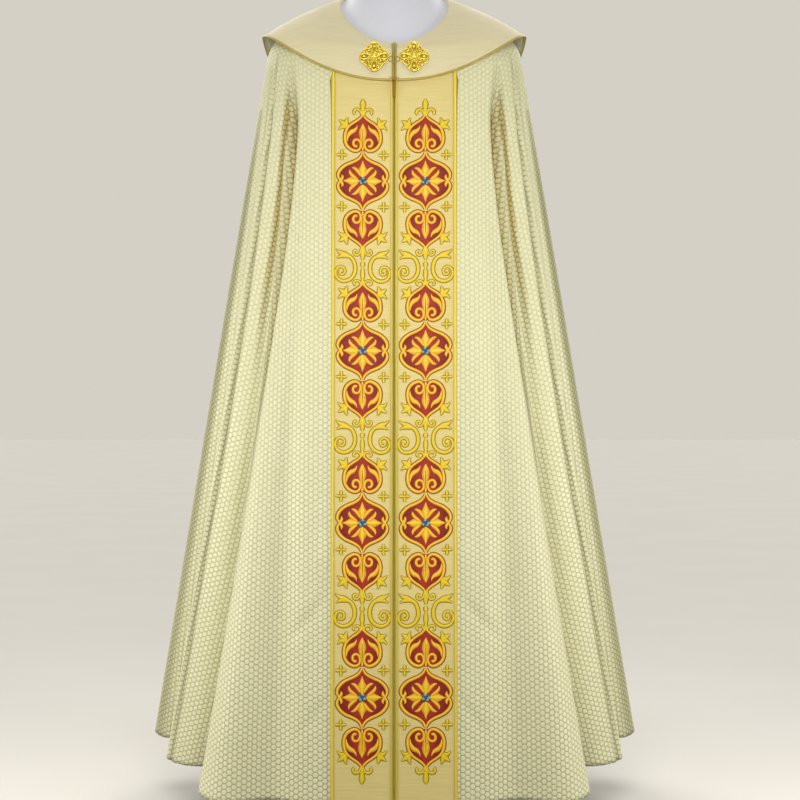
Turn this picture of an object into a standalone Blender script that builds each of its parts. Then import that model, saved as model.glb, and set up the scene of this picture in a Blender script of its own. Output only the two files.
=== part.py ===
"""Cope vestment on a limbless dress form. Metres, +Z up, the front faces -Y.

Left and right are the wearer's, so the left side is +X. The origin is on the floor
under the middle of the stand.
"""
import math

import bmesh
import bpy
import numpy as np
from mathutils import Matrix, Vector
from mathutils.bvhtree import BVHTree

# Cloth walls and the clearances between layers
REST = 0.0009
GAP = 0.0003
BODY_WALL = 0.0018
ORPHREY_WALL = 0.0012
BRAID_WALL = 0.0010
COLLAR_WALL = 0.0018
LINING_WALL = 0.0010
LINING_MARGIN = 0.0020

# Front edge, orphrey and braid
FRONT_EDGE_X = 0.0006
SLIT_X = 0.0024
SLIT_END_LEVEL = 0.05
ORPHREY_WIDTH = 0.1168
BRAID_WIDTH = 0.0062

# Hem heights above the floor
HEM_FRONT_Z = 0.068
HEM_BACK_Z = 0.120
HEM_RISE_DEPTH = 0.40

# Collar
COLLAR_EDGE_X = 0.0042
COLLAR_HALF_WIDTH = 0.2566
COLLAR_FRONT_Y = 0.1325
COLLAR_BACK_Y = 0.178
COLLAR_TIP_Z = 1.5226
COLLAR_FRONT_DROP = 0.1052
COLLAR_FRONT_DROP_POWER = 2.5
COLLAR_BACK_DROP = 0.1380
COLLAR_BACK_DROP_POWER = 1.2
COLLAR_SQUARENESS = 2.3
# Height of the collar over the body cloth, from the neckline outward: in front and
# behind, and what is added at the shoulder
COLLAR_LIFTS = ((0.0008, 0.0), (0.0020, 0.0020), (0.0050, 0.0060), (0.0065, 0.0120))
COLLAR_STEPS = 24
PIPING_RADIUS = 0.0016
# A corner whose sides turn further than this cosine is rounded with three points
PIPING_CORNER = 0.7
PIPING_CORNER_REACH = 1.06

# Clasp
CLASP_X = 0.0378
CLASP_Z = 1.4560
CLASP_RADIUS = 0.0288
CLASP_TALL = 1.10
CLASP_THICKNESS = 0.0022
CLASP_RIM_THICKNESS = 0.0013
CLASP_BOSS = 0.0036
CLASP_LOBE = 0.10
CLASP_RINGS = 6
CLASP_SIDES = 36
CLASP_SEAT_STEPS = 6
CLASP_RELIEF = (
    # name, radius_share, half_width, height_share, lobes
    ("centre_boss", 0.0, 0.20, 1.00, 0),
    ("petals", 0.60, 0.20, 0.85, 4),
    ("beads", 0.88, 0.10, 0.45, 12),
)
HOOK_RADIUS = 0.0009
HOOK_LIFT = 0.0016
HOOK_BOW = 0.0016
HOOK_STEPS = 8

# Form and stand
FORM_SIDES = 60
POLE_RADIUS = 0.016
POLE_SIDES = 24
BASE_SIDES = 48
HUB_TOP_Z = 0.050
BASE_PROFILE = (
    # radius, height: from the middle of the hub down to the middle of the underside
    (0.0, HUB_TOP_Z),
    (0.0272, HUB_TOP_Z),
    (0.0320, 0.044),
    (0.0400, 0.026),
    (0.0935, 0.018),
    (0.1649, 0.012),
    (0.1700, 0.007),
    (0.1700, 0.0),
    (0.0, 0.0),
)

# Loops round the shoulders of the form, from the neckline down to the shoulder edge.
# The depths are from the side plane to the front and to the back.
SHOULDER_LOOPS = (
    # name, half_width, front_depth, back_depth, side_z, front_z, back_z, squareness
    ("neckline", 0.1055, 0.1020, 0.0800, 1.584, 1.489, 1.627, 2.0),
    ("yoke", 0.1500, 0.1075, 0.1040, 1.572, 1.480, 1.600, 2.1),
    ("shoulder", 0.2120, 0.1130, 0.1220, 1.538, 1.468, 1.560, 2.35),
    ("edge", 0.2470, 0.1180, 0.1300, 1.487, 1.455, 1.500, 2.6),
)

# Neck loops above the neckline and torso loops below the shoulder edge
NECK_LOOPS = (
    # name, half_width, front_depth, back_depth, side_z, front_z, back_z, squareness
    ("neck_rim", 0.0560, 0.0600, 0.0560, 1.684, 1.680, 1.686, 2.0),
    ("neck_end", 0.0640, 0.0680, 0.0640, 1.676, 1.672, 1.678, 2.0),
    ("neck_mid", 0.0680, 0.0730, 0.0660, 1.640, 1.624, 1.644, 2.0),
    ("neck_root", 0.0850, 0.0860, 0.0700, 1.600, 1.545, 1.633, 2.0),
)
TORSO_LOOPS = (
    # name, half_width, front_depth, back_depth, side_z, front_z, back_z, squareness
    ("arm_plate", 0.2120, 0.1180, 0.1260, 1.425, 1.405, 1.430, 2.4),
    ("chest", 0.1780, 0.1190, 0.1140, 1.330, 1.320, 1.335, 2.2),
    ("ribs", 0.1600, 0.1040, 0.1000, 1.220, 1.220, 1.220, 2.2),
    ("waist", 0.1450, 0.0920, 0.0930, 1.100, 1.100, 1.100, 2.1),
    ("hips", 0.1720, 0.1040, 0.1120, 0.940, 0.940, 0.940, 2.2),
    ("seat", 0.1680, 0.1000, 0.1080, 0.868, 0.868, 0.868, 2.2),
    ("seat_rim", 0.1560, 0.0880, 0.0960, 0.856, 0.856, 0.856, 2.2),
)

# Fold lines of the left half, from the front edge round to the centre back. Each leaves
# the shoulder edge at its turn (degrees, 0 at the side, -90 at the front) and falls to
# its place in the hem. A bend over 1 hangs first and swings out lower down.
FOLD_LINES = (
    # name, turn, hem_x, hem_y, bend, columns
    ("front_edge", -90.0, 0.0006, -0.2120, 0.80, 1),
    ("orphrey_middle", -80.0, 0.0590, -0.2150, 0.80, 1),
    ("orphrey_edge", -68.0, 0.1174, -0.2165, 0.80, 1),
    ("panel_flat", -61.0, 0.1700, -0.2150, 0.95, 1),
    ("panel_hollow", -55.0, 0.2360, -0.2030, 1.15, 1),
    ("panel_ridge", -49.5, 0.3140, -0.2150, 1.25, 2),
    ("panel_roll", -46.0, 0.3530, -0.1880, 1.30, 2),
    ("panel_side", -43.5, 0.3670, -0.1450, 1.30, 2),
    ("panel_under", -41.5, 0.3400, -0.0950, 1.30, 2),
    ("valley_one", -39.5, 0.2980, -0.0620, 1.30, 2),
    ("second_rise", -37.0, 0.3300, -0.0260, 1.25, 2),
    ("second_crown", -33.0, 0.4020, -0.0200, 1.15, 2),
    ("second_side", -29.0, 0.4480, 0.0150, 1.06, 2),
    ("second_under", -26.0, 0.4420, 0.0620, 1.04, 2),
    ("valley_two", -22.5, 0.3960, 0.0880, 1.02, 2),
    ("third_rise", -17.0, 0.4200, 0.1280, 1.00, 2),
    ("third_crown", -9.0, 0.4780, 0.1480, 1.00, 2),
    ("third_side", 0.0, 0.4985, 0.1900, 1.00, 2),
    ("third_under", 8.0, 0.4740, 0.2320, 1.00, 2),
    ("valley_three", 16.0, 0.4080, 0.2300, 1.02, 2),
    ("fourth_rise", 23.0, 0.3880, 0.2800, 1.04, 2),
    ("fourth_crown", 30.0, 0.4200, 0.3300, 1.04, 2),
    ("fourth_under", 36.0, 0.3850, 0.3640, 1.04, 2),
    ("valley_four", 43.0, 0.3240, 0.3000, 1.08, 2),
    ("fifth_rise", 48.0, 0.2920, 0.3420, 1.10, 2),
    ("fifth_crown", 54.0, 0.3000, 0.4000, 1.10, 2),
    ("fifth_under", 59.0, 0.2560, 0.4120, 1.10, 2),
    ("valley_five", 65.0, 0.2080, 0.3280, 1.12, 2),
    ("sixth_rise", 70.0, 0.1700, 0.3640, 1.14, 2),
    ("sixth_crown", 75.0, 0.1540, 0.4240, 1.14, 2),
    ("sixth_under", 80.0, 0.1060, 0.4200, 1.14, 2),
    ("valley_six", 84.0, 0.0620, 0.3440, 1.14, 2),
    ("back_centre", 90.0, 0.0, 0.3960, 1.14, 2),
)
SEAM_LINES = ("valley_one", "valley_three", "valley_five")

# Levels from the neckline (-1) over the shoulder edge (0) down to the hem (1)
SHOULDER_LEVELS = (-1.0, -2.0 / 3.0, -1.0 / 3.0, -1.0 / 6.0, 0.0)
FALL_LEVELS = (0.03, 0.08, 0.16, 0.26, 0.37, 0.48, 0.59, 0.70, 0.80, 0.90, 1.0)
LEVELS = SHOULDER_LEVELS + FALL_LEVELS
EDGE_LEVEL = SHOULDER_LEVELS.index(0.0)


def clear_scene():
    """Remove every object of the start-up scene."""
    for item in list(bpy.data.objects):
        bpy.data.objects.remove(item, do_unlink=True)


def make_material(name, colour, roughness, metallic=0.0):
    """One Principled BSDF material."""
    material = bpy.data.materials.new(name)
    material.use_nodes = True
    shader = material.node_tree.nodes["Principled BSDF"]
    shader.inputs["Base Color"].default_value = (*colour, 1.0)
    shader.inputs["Roughness"].default_value = roughness
    shader.inputs["Metallic"].default_value = metallic
    return material


def place(name, mesh, material, smooth_angle=50.0):
    """Link a finished mesh into the object's collection under its node name."""
    mesh.materials.clear()
    mesh.materials.append(material)
    mesh.shade_smooth()
    mesh.set_sharp_from_angle(angle=math.radians(smooth_angle))
    item = bpy.data.objects.new(name, mesh)
    COPE.objects.link(item)
    return item


def between_rows(rows, place_in_rows):
    """Smooth curve through the rows of a table, read at a place counted in rows."""
    last = len(rows) - 1
    first = min(int(place_in_rows), last - 1)
    share = place_in_rows - first
    before = rows[max(first - 1, 0)]
    start = rows[first]
    end = rows[first + 1]
    after = rows[min(first + 2, last)]
    slope_start = (end - before) / 2.0
    slope_end = (after - start) / 2.0
    square = share * share
    cube = square * share
    return ((2 * cube - 3 * square + 1) * start + (cube - 2 * square + share) * slope_start
            + (3 * square - 2 * cube) * end + (cube - square) * slope_end)


SHOULDER_ROWS = np.array([loop[1:] for loop in SHOULDER_LOOPS])


def loop_point(loop, turn):
    """Point of a body loop at a turn in radians, 0 at the left side, pi/2 at the back."""
    half_width, front_depth, back_depth, side_z, front_z, back_z, squareness = loop
    cosine = math.cos(turn)
    sine = math.sin(turn)
    power = 2.0 / squareness
    depth = back_depth if sine > 0 else front_depth
    x = half_width * math.copysign(abs(cosine) ** power, cosine)
    y = depth * math.copysign(abs(sine) ** power, sine)
    z = side_z + (back_z - front_z) / 2.0 * sine + ((back_z + front_z) / 2.0 - side_z) * sine * sine
    return np.array((x, y, z))


def shoulder_loop(level):
    """Sizes of the loop round the shoulders at a level."""
    return between_rows(SHOULDER_ROWS, (level + 1.0) * (len(SHOULDER_ROWS) - 1))


def shoulder_point(level, turn):
    """Point of the form's shoulders, level -1 at the neckline and 0 at the shoulder edge.

    The turn is that at the shoulder edge; a line keeps its share of each loop's width.
    """
    loop = shoulder_loop(level)
    power = loop[6] / SHOULDER_ROWS[-1][6]
    cosine = math.cos(turn)
    here = math.acos(math.copysign(min(abs(cosine) ** power, 1.0), cosine))
    return loop_point(loop, math.copysign(here, turn))


def fold_rows():
    """Fold lines as numbers, with the line past the centre back that the curve needs."""
    rows = [[math.radians(turn), x, y, bend] for _, turn, x, y, bend, _ in FOLD_LINES]
    turn, x, y, bend = rows[-2]
    rows.append([math.pi - turn, -x, y, bend])
    return np.array(rows)


FOLD_ROWS = fold_rows()


def fall_line(t):
    """Turn, hem place and bend of the line at t, counted in fold lines."""
    turn, hem_x, hem_y, bend = between_rows(FOLD_ROWS, t)
    if t <= 2.0:
        half_width = SHOULDER_ROWS[-1][0]
        squareness = SHOULDER_ROWS[-1][6]
        hem_x = FRONT_EDGE_X + ORPHREY_WIDTH * t / 2.0
        turn = -math.acos((hem_x / half_width) ** (squareness / 2.0))
    return turn, hem_x, hem_y, bend


def hem_height(hem_y):
    """The hem rises evenly from the front to the sides and stays level behind."""
    share = min(max((hem_y - FOLD_LINES[0][3]) / HEM_RISE_DEPTH, 0.0), 1.0)
    return HEM_FRONT_Z + (HEM_BACK_Z - HEM_FRONT_Z) * share


def drape_point(t, level):
    """Point under the cloth of the left half at fold line t and a level."""
    turn, hem_x, hem_y, bend = fall_line(t)
    if level <= 0.0:
        return shoulder_point(level, turn)
    top = shoulder_point(0.0, turn)
    swing = level ** bend
    x = top[0] + (hem_x - top[0]) * swing
    y = top[1] + (hem_y - top[1]) * swing
    z = top[2] + (hem_height(hem_y) - top[2]) * level
    return np.array((x, y, z))


def open_slit(points):
    """Part the front edge a little at the top, where the collar holds it."""
    for index, level in enumerate(LEVELS):
        if level < SLIT_END_LEVEL:
            points[:2, index, 0] += SLIT_X - FRONT_EDGE_X
            points[0, index, 0] = SLIT_X


def drape_columns():
    """Columns of the left half: the edges of the braids and orphrey, then the folds."""
    braid = 2.0 * BRAID_WIDTH / ORPHREY_WIDTH
    columns = [0.0, braid, 1.0, 2.0 - braid, 2.0]
    for index in range(2, len(FOLD_LINES) - 1):
        steps = FOLD_LINES[index][5]
        columns += [index + (step + 1) / steps for step in range(steps)]
    return columns


def grid_normals(points):
    """Outward normals of a grid of points, from its neighbours along both ways."""
    across = np.gradient(points, axis=0)
    down = np.gradient(points, axis=1)
    normals = np.cross(down, across)
    return normals / np.linalg.norm(normals, axis=2, keepdims=True)


def drape_grid():
    """Points and normals under the left half of the cope."""
    columns = drape_columns()
    past_centre = len(FOLD_LINES) - 1 + (columns[-1] - columns[-2])
    points = np.array([[drape_point(t, level) for level in LEVELS]
                       for t in columns + [past_centre]])
    open_slit(points)
    normals = grid_normals(points)
    return points[:-1], normals[:-1]


def across_centre(grid, first):
    """Columns from one side over the centre back to the other side."""
    half = grid[first:]
    mirrored = half[::-1][1:] * np.array((-1.0, 1.0, 1.0))
    return np.concatenate((half, mirrored))


def wall_mesh(name, points, normals, inner, outer, trim=(0.0, 0.0)):
    """Closed cloth wall between two distances from a grid, its side edges trimmed back."""
    points = points.copy()
    for end, inward, cut in ((0, 1, trim[0]), (-1, -2, trim[1])):
        run = points[inward] - points[end]
        points[end] += cut * run / np.linalg.norm(run, axis=1, keepdims=True)
    columns, levels = points.shape[:2]
    build = bmesh.new()
    sheets = []
    for distance in (inner, outer):
        moved = points + normals * distance
        sheets.append([[build.verts.new(Vector(p)) for p in column] for column in moved])
    inside, outside = sheets
    for i in range(columns - 1):
        for j in range(levels - 1):
            for sheet in sheets:
                build.faces.new((sheet[i][j], sheet[i + 1][j], sheet[i + 1][j + 1], sheet[i][j + 1]))
        for j in (0, levels - 1):
            build.faces.new((inside[i][j], inside[i + 1][j], outside[i + 1][j], outside[i][j]))
    for j in range(levels - 1):
        for i in (0, columns - 1):
            build.faces.new((inside[i][j], inside[i][j + 1], outside[i][j + 1], outside[i][j]))
    bmesh.ops.triangulate(build, faces=build.faces[:], quad_method="FIXED")
    bmesh.ops.recalc_face_normals(build, faces=build.faces[:])
    mesh = bpy.data.meshes.new(name)
    build.to_mesh(mesh)
    build.free()
    return mesh


def build_gores(points, normals, columns, material):
    """Front, side and back gores, with seams at the bottom of the folds."""
    names = [line[0] for line in FOLD_LINES]
    seams = [columns.index(float(names.index(name))) for name in SEAM_LINES]
    spans = (
        ("front_gore", 0, seams[0], (0.0, GAP / 2.0)),
        ("side_gore", seams[0], seams[1], (GAP / 2.0, GAP / 2.0)),
        ("back_side_gore", seams[1], seams[2], (GAP / 2.0, GAP / 2.0)),
    )
    mirror = np.array((-1.0, 1.0, 1.0))
    for name, first, last, trim in spans:
        cut = slice(first, last + 1)
        for side, sign in (("left", 1.0), ("right", mirror)):
            mesh = wall_mesh(f"{name}_{side}", points[cut] * sign, normals[cut] * sign,
                             REST, REST + BODY_WALL, trim)
            place(f"{name}_{side}", mesh, material)
    mesh = wall_mesh("back_gore", across_centre(points, seams[2]),
                     across_centre(normals, seams[2]),
                     REST, REST + BODY_WALL, (GAP / 2.0, GAP / 2.0))
    place("back_gore", mesh, material)


def build_orphreys(points, normals, cloth, braid):
    """Orphrey bands on the front edges, with a flat braid along both of their edges."""
    low = REST + BODY_WALL + GAP
    high = low + ORPHREY_WALL
    mirror = np.array((-1.0, 1.0, 1.0))
    pieces = (
        ("orphrey", slice(0, 5), low, high, cloth),
        ("braid_front", slice(0, 2), high + GAP, high + GAP + BRAID_WALL, braid),
        ("braid_outer", slice(3, 5), high + GAP, high + GAP + BRAID_WALL, braid),
    )
    for name, columns, inner, outer, material in pieces:
        for side, sign in (("left", 1.0), ("right", mirror)):
            band = points[columns, EDGE_LEVEL:] * sign
            lean = normals[columns, EDGE_LEVEL:] * sign
            mesh = wall_mesh(f"{name}_{side}", band, lean, inner, outer)
            place(f"{name}_{side}", mesh, material)


def collar_edge_point(turn):
    """Lower edge of the collar: shallow in front, pointed at the shoulders, deeper behind."""
    sine = math.sin(turn)
    cosine = max(math.cos(turn), 0.0)
    power = 2.0 / COLLAR_SQUARENESS
    if sine < 0:
        depth = COLLAR_FRONT_Y
        drop = COLLAR_FRONT_DROP * abs(sine) ** COLLAR_FRONT_DROP_POWER
    else:
        depth = COLLAR_BACK_Y
        drop = COLLAR_BACK_DROP * sine ** COLLAR_BACK_DROP_POWER
    x = COLLAR_HALF_WIDTH * cosine ** power
    y = depth * math.copysign(abs(sine) ** power, sine)
    return np.array((x, y, COLLAR_TIP_Z - drop))


def level_at_height(turn, height):
    """Level of the shoulders at a height, at most the shoulder edge."""
    low, high = -1.0, 0.0
    for _ in range(24):
        level = (low + high) / 2.0
        if shoulder_point(level, turn)[2] > height:
            low = level
        else:
            high = level
    return high


def collar_grid():
    """Points under the collar, from the neckline to its lower edge in each column."""
    turns = [math.radians(-90.0 + 180.0 * step / COLLAR_STEPS) for step in range(COLLAR_STEPS + 1)]
    upper_levels = SHOULDER_LEVELS[:3]
    under = []
    lifts = []
    for turn in turns:
        shoulder_z = shoulder_point(upper_levels[-1], turn)[2]
        between_z = (shoulder_z + collar_edge_point(turn)[2]) / 2.0
        levels = upper_levels + (level_at_height(turn, between_z),)
        under.append([shoulder_point(level, turn) for level in levels])
        side = math.cos(turn) ** 2
        lifts.append([lift + side * more for lift, more in COLLAR_LIFTS])
    under = np.array(under)
    rise = np.array(lifts) + REST + BODY_WALL
    rings = under + grid_normals(under) * rise[:, :, None]
    edge = np.array([collar_edge_point(turn) for turn in turns])
    back_in = rings[:, -1] - edge
    hem = edge + LINING_MARGIN * back_in / np.linalg.norm(back_in, axis=1, keepdims=True)
    half = np.concatenate((rings, hem[:, None], edge[:, None]), axis=1)
    half[0, :, 0] = COLLAR_EDGE_X
    half[-1, :, 0] = 0.0
    return across_centre(half, 0)


def build_collar(cloth, lining, cord):
    """Round collar, the lining under its outer half and the piping round its edges."""
    points = collar_grid()
    normals = grid_normals(points)
    place("collar", wall_mesh("collar", points, normals, 0.0, COLLAR_WALL), cloth)
    under = slice(2, -1)
    mesh = wall_mesh("collar_lining", points[:, under], normals[:, under], -GAP - LINING_WALL, -GAP)
    place("collar_lining", mesh, lining)
    build_piping(points, normals, cord)
    return points, normals


def piping_route(points, normals):
    """Line round the collar's front and lower edges, a cord's reach outside its wall."""
    reach = PIPING_RADIUS + 2.0 * GAP
    middle = points + normals * COLLAR_WALL / 2.0
    outline = np.concatenate((middle[0, :-1], middle[:, -1], middle[-1, :-1][::-1]))
    lean = np.concatenate((normals[0, :-1], normals[:, -1], normals[-1, :-1][::-1]))
    runs = outline[1:] - outline[:-1]
    away = np.cross(runs, lean[1:] + lean[:-1])
    away /= np.linalg.norm(away, axis=1, keepdims=True)
    route = [outline[0] + away[0] * reach]
    for corner, before, after in zip(outline[1:-1], away[:-1], away[1:]):
        between = before + after
        between /= np.linalg.norm(between)
        if before @ after < PIPING_CORNER:
            route.append(corner + before * reach)
            route.append(corner + between * reach * PIPING_CORNER_REACH)
            route.append(corner + after * reach)
        else:
            route.append(corner + between * reach / (between @ before))
    route.append(outline[-1] + away[-1] * reach)
    return route


def build_piping(points, normals, cord):
    """Cord down one front edge, round the lower edge and up the other front edge."""
    path = piping_route(points, normals)
    curve = bpy.data.curves.new("collar_piping", "CURVE")
    curve.dimensions = "3D"
    curve.bevel_depth = PIPING_RADIUS
    curve.bevel_resolution = 1
    curve.use_fill_caps = True
    spline = curve.splines.new("POLY")
    spline.points.add(len(path) - 1)
    for point, where in zip(spline.points, path):
        point.co = (*where, 1.0)
    curve.materials.append(cord)
    item = bpy.data.objects.new("collar_piping", curve)
    COPE.objects.link(item)


def collar_seat(points, normals, x, z):
    """Plane that lies on the collar's front round x and z: a point and its normal."""
    outer = points + normals * COLLAR_WALL
    columns, levels = outer.shape[:2]
    corners = [Vector(p) for p in outer.reshape(-1, 3)]
    quads = []
    for i in range(columns - 1):
        for j in range(levels - 1):
            first = i * levels + j
            quads.append((first, first + levels, first + levels + 1, first + 1))
    surface = BVHTree.FromPolygons(corners, quads)
    steps = range(-CLASP_SEAT_STEPS, CLASP_SEAT_STEPS + 1)
    reach = [CLASP_RADIUS * step / CLASP_SEAT_STEPS for step in steps]
    backward = Vector((0.0, 1.0, 0.0))
    hits = {}
    for dx in reach:
        for dz in reach:
            start = Vector((x + dx, 0.0, z + dz)) - backward
            where = surface.ray_cast(start, backward)[0]
            if where is not None:
                hits[dx, dz] = where
    low, high = reach[2], reach[-3]
    along = hits[high, 0.0] - hits[low, 0.0]
    up = hits[0.0, high] - hits[0.0, low]
    lean = along.cross(up).normalized()
    proud = max((where - hits[0.0, 0.0]).dot(lean) for where in hits.values())
    return hits[0.0, 0.0] + lean * proud, lean


def clasp_height(radius_share, angle):
    """Relief of the filigree plate: a centre boss, four petals and a ring of beads."""
    relief = 0.0
    for _, middle, half_width, share, lobes in CLASP_RELIEF:
        ridge = math.exp(-((radius_share - middle) / half_width) ** 2)
        relief = max(relief, share * ridge * (1.0 + math.cos(lobes * angle)) / 2.0)
    return CLASP_THICKNESS + CLASP_BOSS * relief


def clasp_mesh(name):
    """Lobed plate in its own plane, flat behind and in relief in front."""
    build = bmesh.new()
    top_centre = build.verts.new((0.0, 0.0, clasp_height(0.0, 0.0)))
    bottom_centre = build.verts.new((0.0, 0.0, 0.0))
    loops = []
    for ring in range(1, CLASP_RINGS + 1):
        share = ring / CLASP_RINGS
        loop = []
        for side in range(CLASP_SIDES):
            angle = 2.0 * math.pi * side / CLASP_SIDES
            radius = CLASP_RADIUS * share * (1.0 - CLASP_LOBE * (1.0 - math.cos(4.0 * angle)))
            height = clasp_height(share, angle) if ring < CLASP_RINGS else CLASP_RIM_THICKNESS
            across = radius * math.cos(angle)
            along = CLASP_TALL * radius * math.sin(angle)
            loop.append(build.verts.new((across, along, height)))
        loops.append(loop)
    foot = [build.verts.new((v.co.x, v.co.y, 0.0)) for v in loops[-1]]
    loops.append(foot)
    for side in range(CLASP_SIDES):
        after = (side + 1) % CLASP_SIDES
        build.faces.new((top_centre, loops[0][side], loops[0][after]))
        build.faces.new((bottom_centre, foot[after], foot[side]))
        for inner, outer in zip(loops, loops[1:]):
            build.faces.new((inner[side], outer[side], outer[after], inner[after]))
    bmesh.ops.recalc_face_normals(build, faces=build.faces[:])
    mesh = bpy.data.meshes.new(name)
    build.to_mesh(mesh)
    build.free()
    return mesh


def build_clasp(points, normals, metal):
    """Two filigree plates sewn to the collar and the wire hook between them."""
    ends = []
    for side, sign in (("left", 1.0), ("right", -1.0)):
        seat, lean = collar_seat(points, normals, sign * CLASP_X, CLASP_Z)
        across = (Vector((1.0, 0.0, 0.0)) - lean * lean.x).normalized()
        up = lean.cross(across)
        item = place(f"clasp_{side}", clasp_mesh(f"clasp_{side}"), metal, 35.0)
        turned = Matrix((across, up, lean)).transposed().to_4x4()
        item.matrix_world = Matrix.Translation(seat + lean * 2.0 * GAP) @ turned
        rim = seat - across * sign * (CLASP_RADIUS + 2.0 * GAP)
        ends.append(rim + lean * HOOK_LIFT)
    curve = bpy.data.curves.new("clasp_hook", "CURVE")
    curve.dimensions = "3D"
    curve.bevel_depth = HOOK_RADIUS
    curve.bevel_resolution = 1
    curve.use_fill_caps = True
    spline = curve.splines.new("POLY")
    spline.points.add(HOOK_STEPS)
    for step, point in enumerate(spline.points):
        share = step / HOOK_STEPS
        where = ends[0].lerp(ends[1], share)
        where.y -= HOOK_BOW * math.sin(math.pi * share)
        point.co = (*where, 1.0)
    curve.materials.append(metal)
    item = bpy.data.objects.new("clasp_hook", curve)
    COPE.objects.link(item)


def build_form(material):
    """Smooth limbless form: neck, sloping shoulders and torso, lofted through its loops."""
    upper = [loop[1:] for loop in NECK_LOOPS]
    shoulders = [shoulder_loop(level) for level in SHOULDER_LEVELS]
    lower = [loop[1:] for loop in TORSO_LOOPS]
    build = bmesh.new()
    loops = []
    for row in upper + shoulders + lower:
        loop = []
        for side in range(FORM_SIDES):
            turn = 2.0 * math.pi * side / FORM_SIDES
            loop.append(build.verts.new(Vector(loop_point(row, turn))))
        loops.append(loop)
    for above, below in zip(loops, loops[1:]):
        for side in range(FORM_SIDES):
            after = (side + 1) % FORM_SIDES
            build.faces.new((above[side], below[side], below[after], above[after]))
    build.faces.new(loops[0])
    build.faces.new(loops[-1][::-1])
    bmesh.ops.triangulate(build, faces=build.faces[:], quad_method="SHORT_EDGE")
    bmesh.ops.recalc_face_normals(build, faces=build.faces[:])
    mesh = bpy.data.meshes.new("dress_form")
    build.to_mesh(mesh)
    build.free()
    place("dress_form", mesh, material)


def build_stand(material):
    """Pole under the form and the turned round foot that it stands on."""
    top = TORSO_LOOPS[-1][4] - GAP
    bottom = HUB_TOP_Z + GAP
    bpy.ops.mesh.primitive_cylinder_add(vertices=POLE_SIDES, radius=POLE_RADIUS, depth=top - bottom,
                                        location=(0.0, 0.0, (top + bottom) / 2.0))
    pole = bpy.context.object
    mesh = pole.data
    where = pole.location.copy()
    bpy.data.objects.remove(pole, do_unlink=True)
    item = place("stand_pole", mesh, material)
    item.location = where
    mesh = bpy.data.meshes.new("stand_base")
    edges = [(i, i + 1) for i in range(len(BASE_PROFILE) - 1)]
    mesh.from_pydata([(radius, 0.0, height) for radius, height in BASE_PROFILE], edges, [])
    mesh.materials.append(material)
    item = bpy.data.objects.new("stand_base", mesh)
    COPE.objects.link(item)
    screw = item.modifiers.new("turn", "SCREW")
    screw.steps = BASE_SIDES
    screw.render_steps = BASE_SIDES
    screw.use_merge_vertices = True
    screw.merge_threshold = 0.0001


clear_scene()
COPE = bpy.data.collections.new("cope_vestment")
bpy.context.scene.collection.children.link(COPE)

BROCADE = make_material("cream_brocade", (0.72, 0.70, 0.50), 0.55)
ORPHREY_CLOTH = make_material("ribbed_gold_cloth", (0.74, 0.60, 0.24), 0.5)
BRAID = make_material("gold_braid", (0.80, 0.60, 0.10), 0.35, 0.4)
COLLAR_CLOTH = make_material("fine_ribbed_cream_cloth", (0.75, 0.68, 0.40), 0.6)
LINING = make_material("blue_grey_lining", (0.30, 0.34, 0.36), 0.6)
CORD = make_material("olive_gold_cord", (0.45, 0.38, 0.08), 0.45, 0.2)
CLASP_METAL = make_material("gilt_brass", (0.83, 0.62, 0.14), 0.3, 1.0)
FORM_COVER = make_material("grey_white_form", (0.55, 0.55, 0.56), 0.6)
STAND_METAL = make_material("brushed_steel", (0.5, 0.5, 0.5), 0.35, 1.0)

POINTS, NORMALS = drape_grid()
build_gores(POINTS, NORMALS, drape_columns(), BROCADE)
build_orphreys(POINTS, NORMALS, ORPHREY_CLOTH, BRAID)
COLLAR_POINTS, COLLAR_NORMALS = build_collar(COLLAR_CLOTH, LINING, CORD)
build_clasp(COLLAR_POINTS, COLLAR_NORMALS, CLASP_METAL)
build_form(FORM_COVER)
build_stand(STAND_METAL)
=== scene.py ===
"""Cope vestment on a limbless dress form, dressed for its render.

Metres, +Z up, the front faces -Y. Left and right are the wearer's, so left is +X.
"""
import math

import bmesh
import bpy
import numpy as np
from mathutils import Matrix, Vector
from mathutils.bvhtree import BVHTree


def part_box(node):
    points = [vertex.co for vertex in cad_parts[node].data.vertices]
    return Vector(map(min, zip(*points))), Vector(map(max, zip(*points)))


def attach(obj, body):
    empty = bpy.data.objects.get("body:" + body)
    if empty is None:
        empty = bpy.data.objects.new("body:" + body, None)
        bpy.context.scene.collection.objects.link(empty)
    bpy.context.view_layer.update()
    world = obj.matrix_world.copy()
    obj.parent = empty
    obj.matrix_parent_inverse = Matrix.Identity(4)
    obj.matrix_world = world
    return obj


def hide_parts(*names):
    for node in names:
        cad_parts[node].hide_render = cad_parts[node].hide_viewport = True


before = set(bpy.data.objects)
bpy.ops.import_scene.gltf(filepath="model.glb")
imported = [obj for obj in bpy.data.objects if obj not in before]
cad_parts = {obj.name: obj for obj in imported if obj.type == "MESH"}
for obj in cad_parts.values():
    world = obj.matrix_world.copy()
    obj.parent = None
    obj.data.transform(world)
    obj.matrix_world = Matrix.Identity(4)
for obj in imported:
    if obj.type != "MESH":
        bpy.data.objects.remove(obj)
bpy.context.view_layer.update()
bpy.ops.object.select_all(action="DESELECT")


# Camera, light and floor
# The photograph looks straight at the front from the height of the cope's middle, in soft
# even light: a softbox in front, one low at each side, and weak light from above and behind.
def linear(hex_colour):
    """An sRGB hex colour such as "C8B070" as linear RGBA."""
    channels = [int(hex_colour[at:at + 2], 16) / 255.0 for at in (0, 2, 4)]
    turned = [c / 12.92 if c <= 0.04045 else ((c + 0.055) / 1.055) ** 2.4 for c in channels]
    return (*turned, 1.0)


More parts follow.
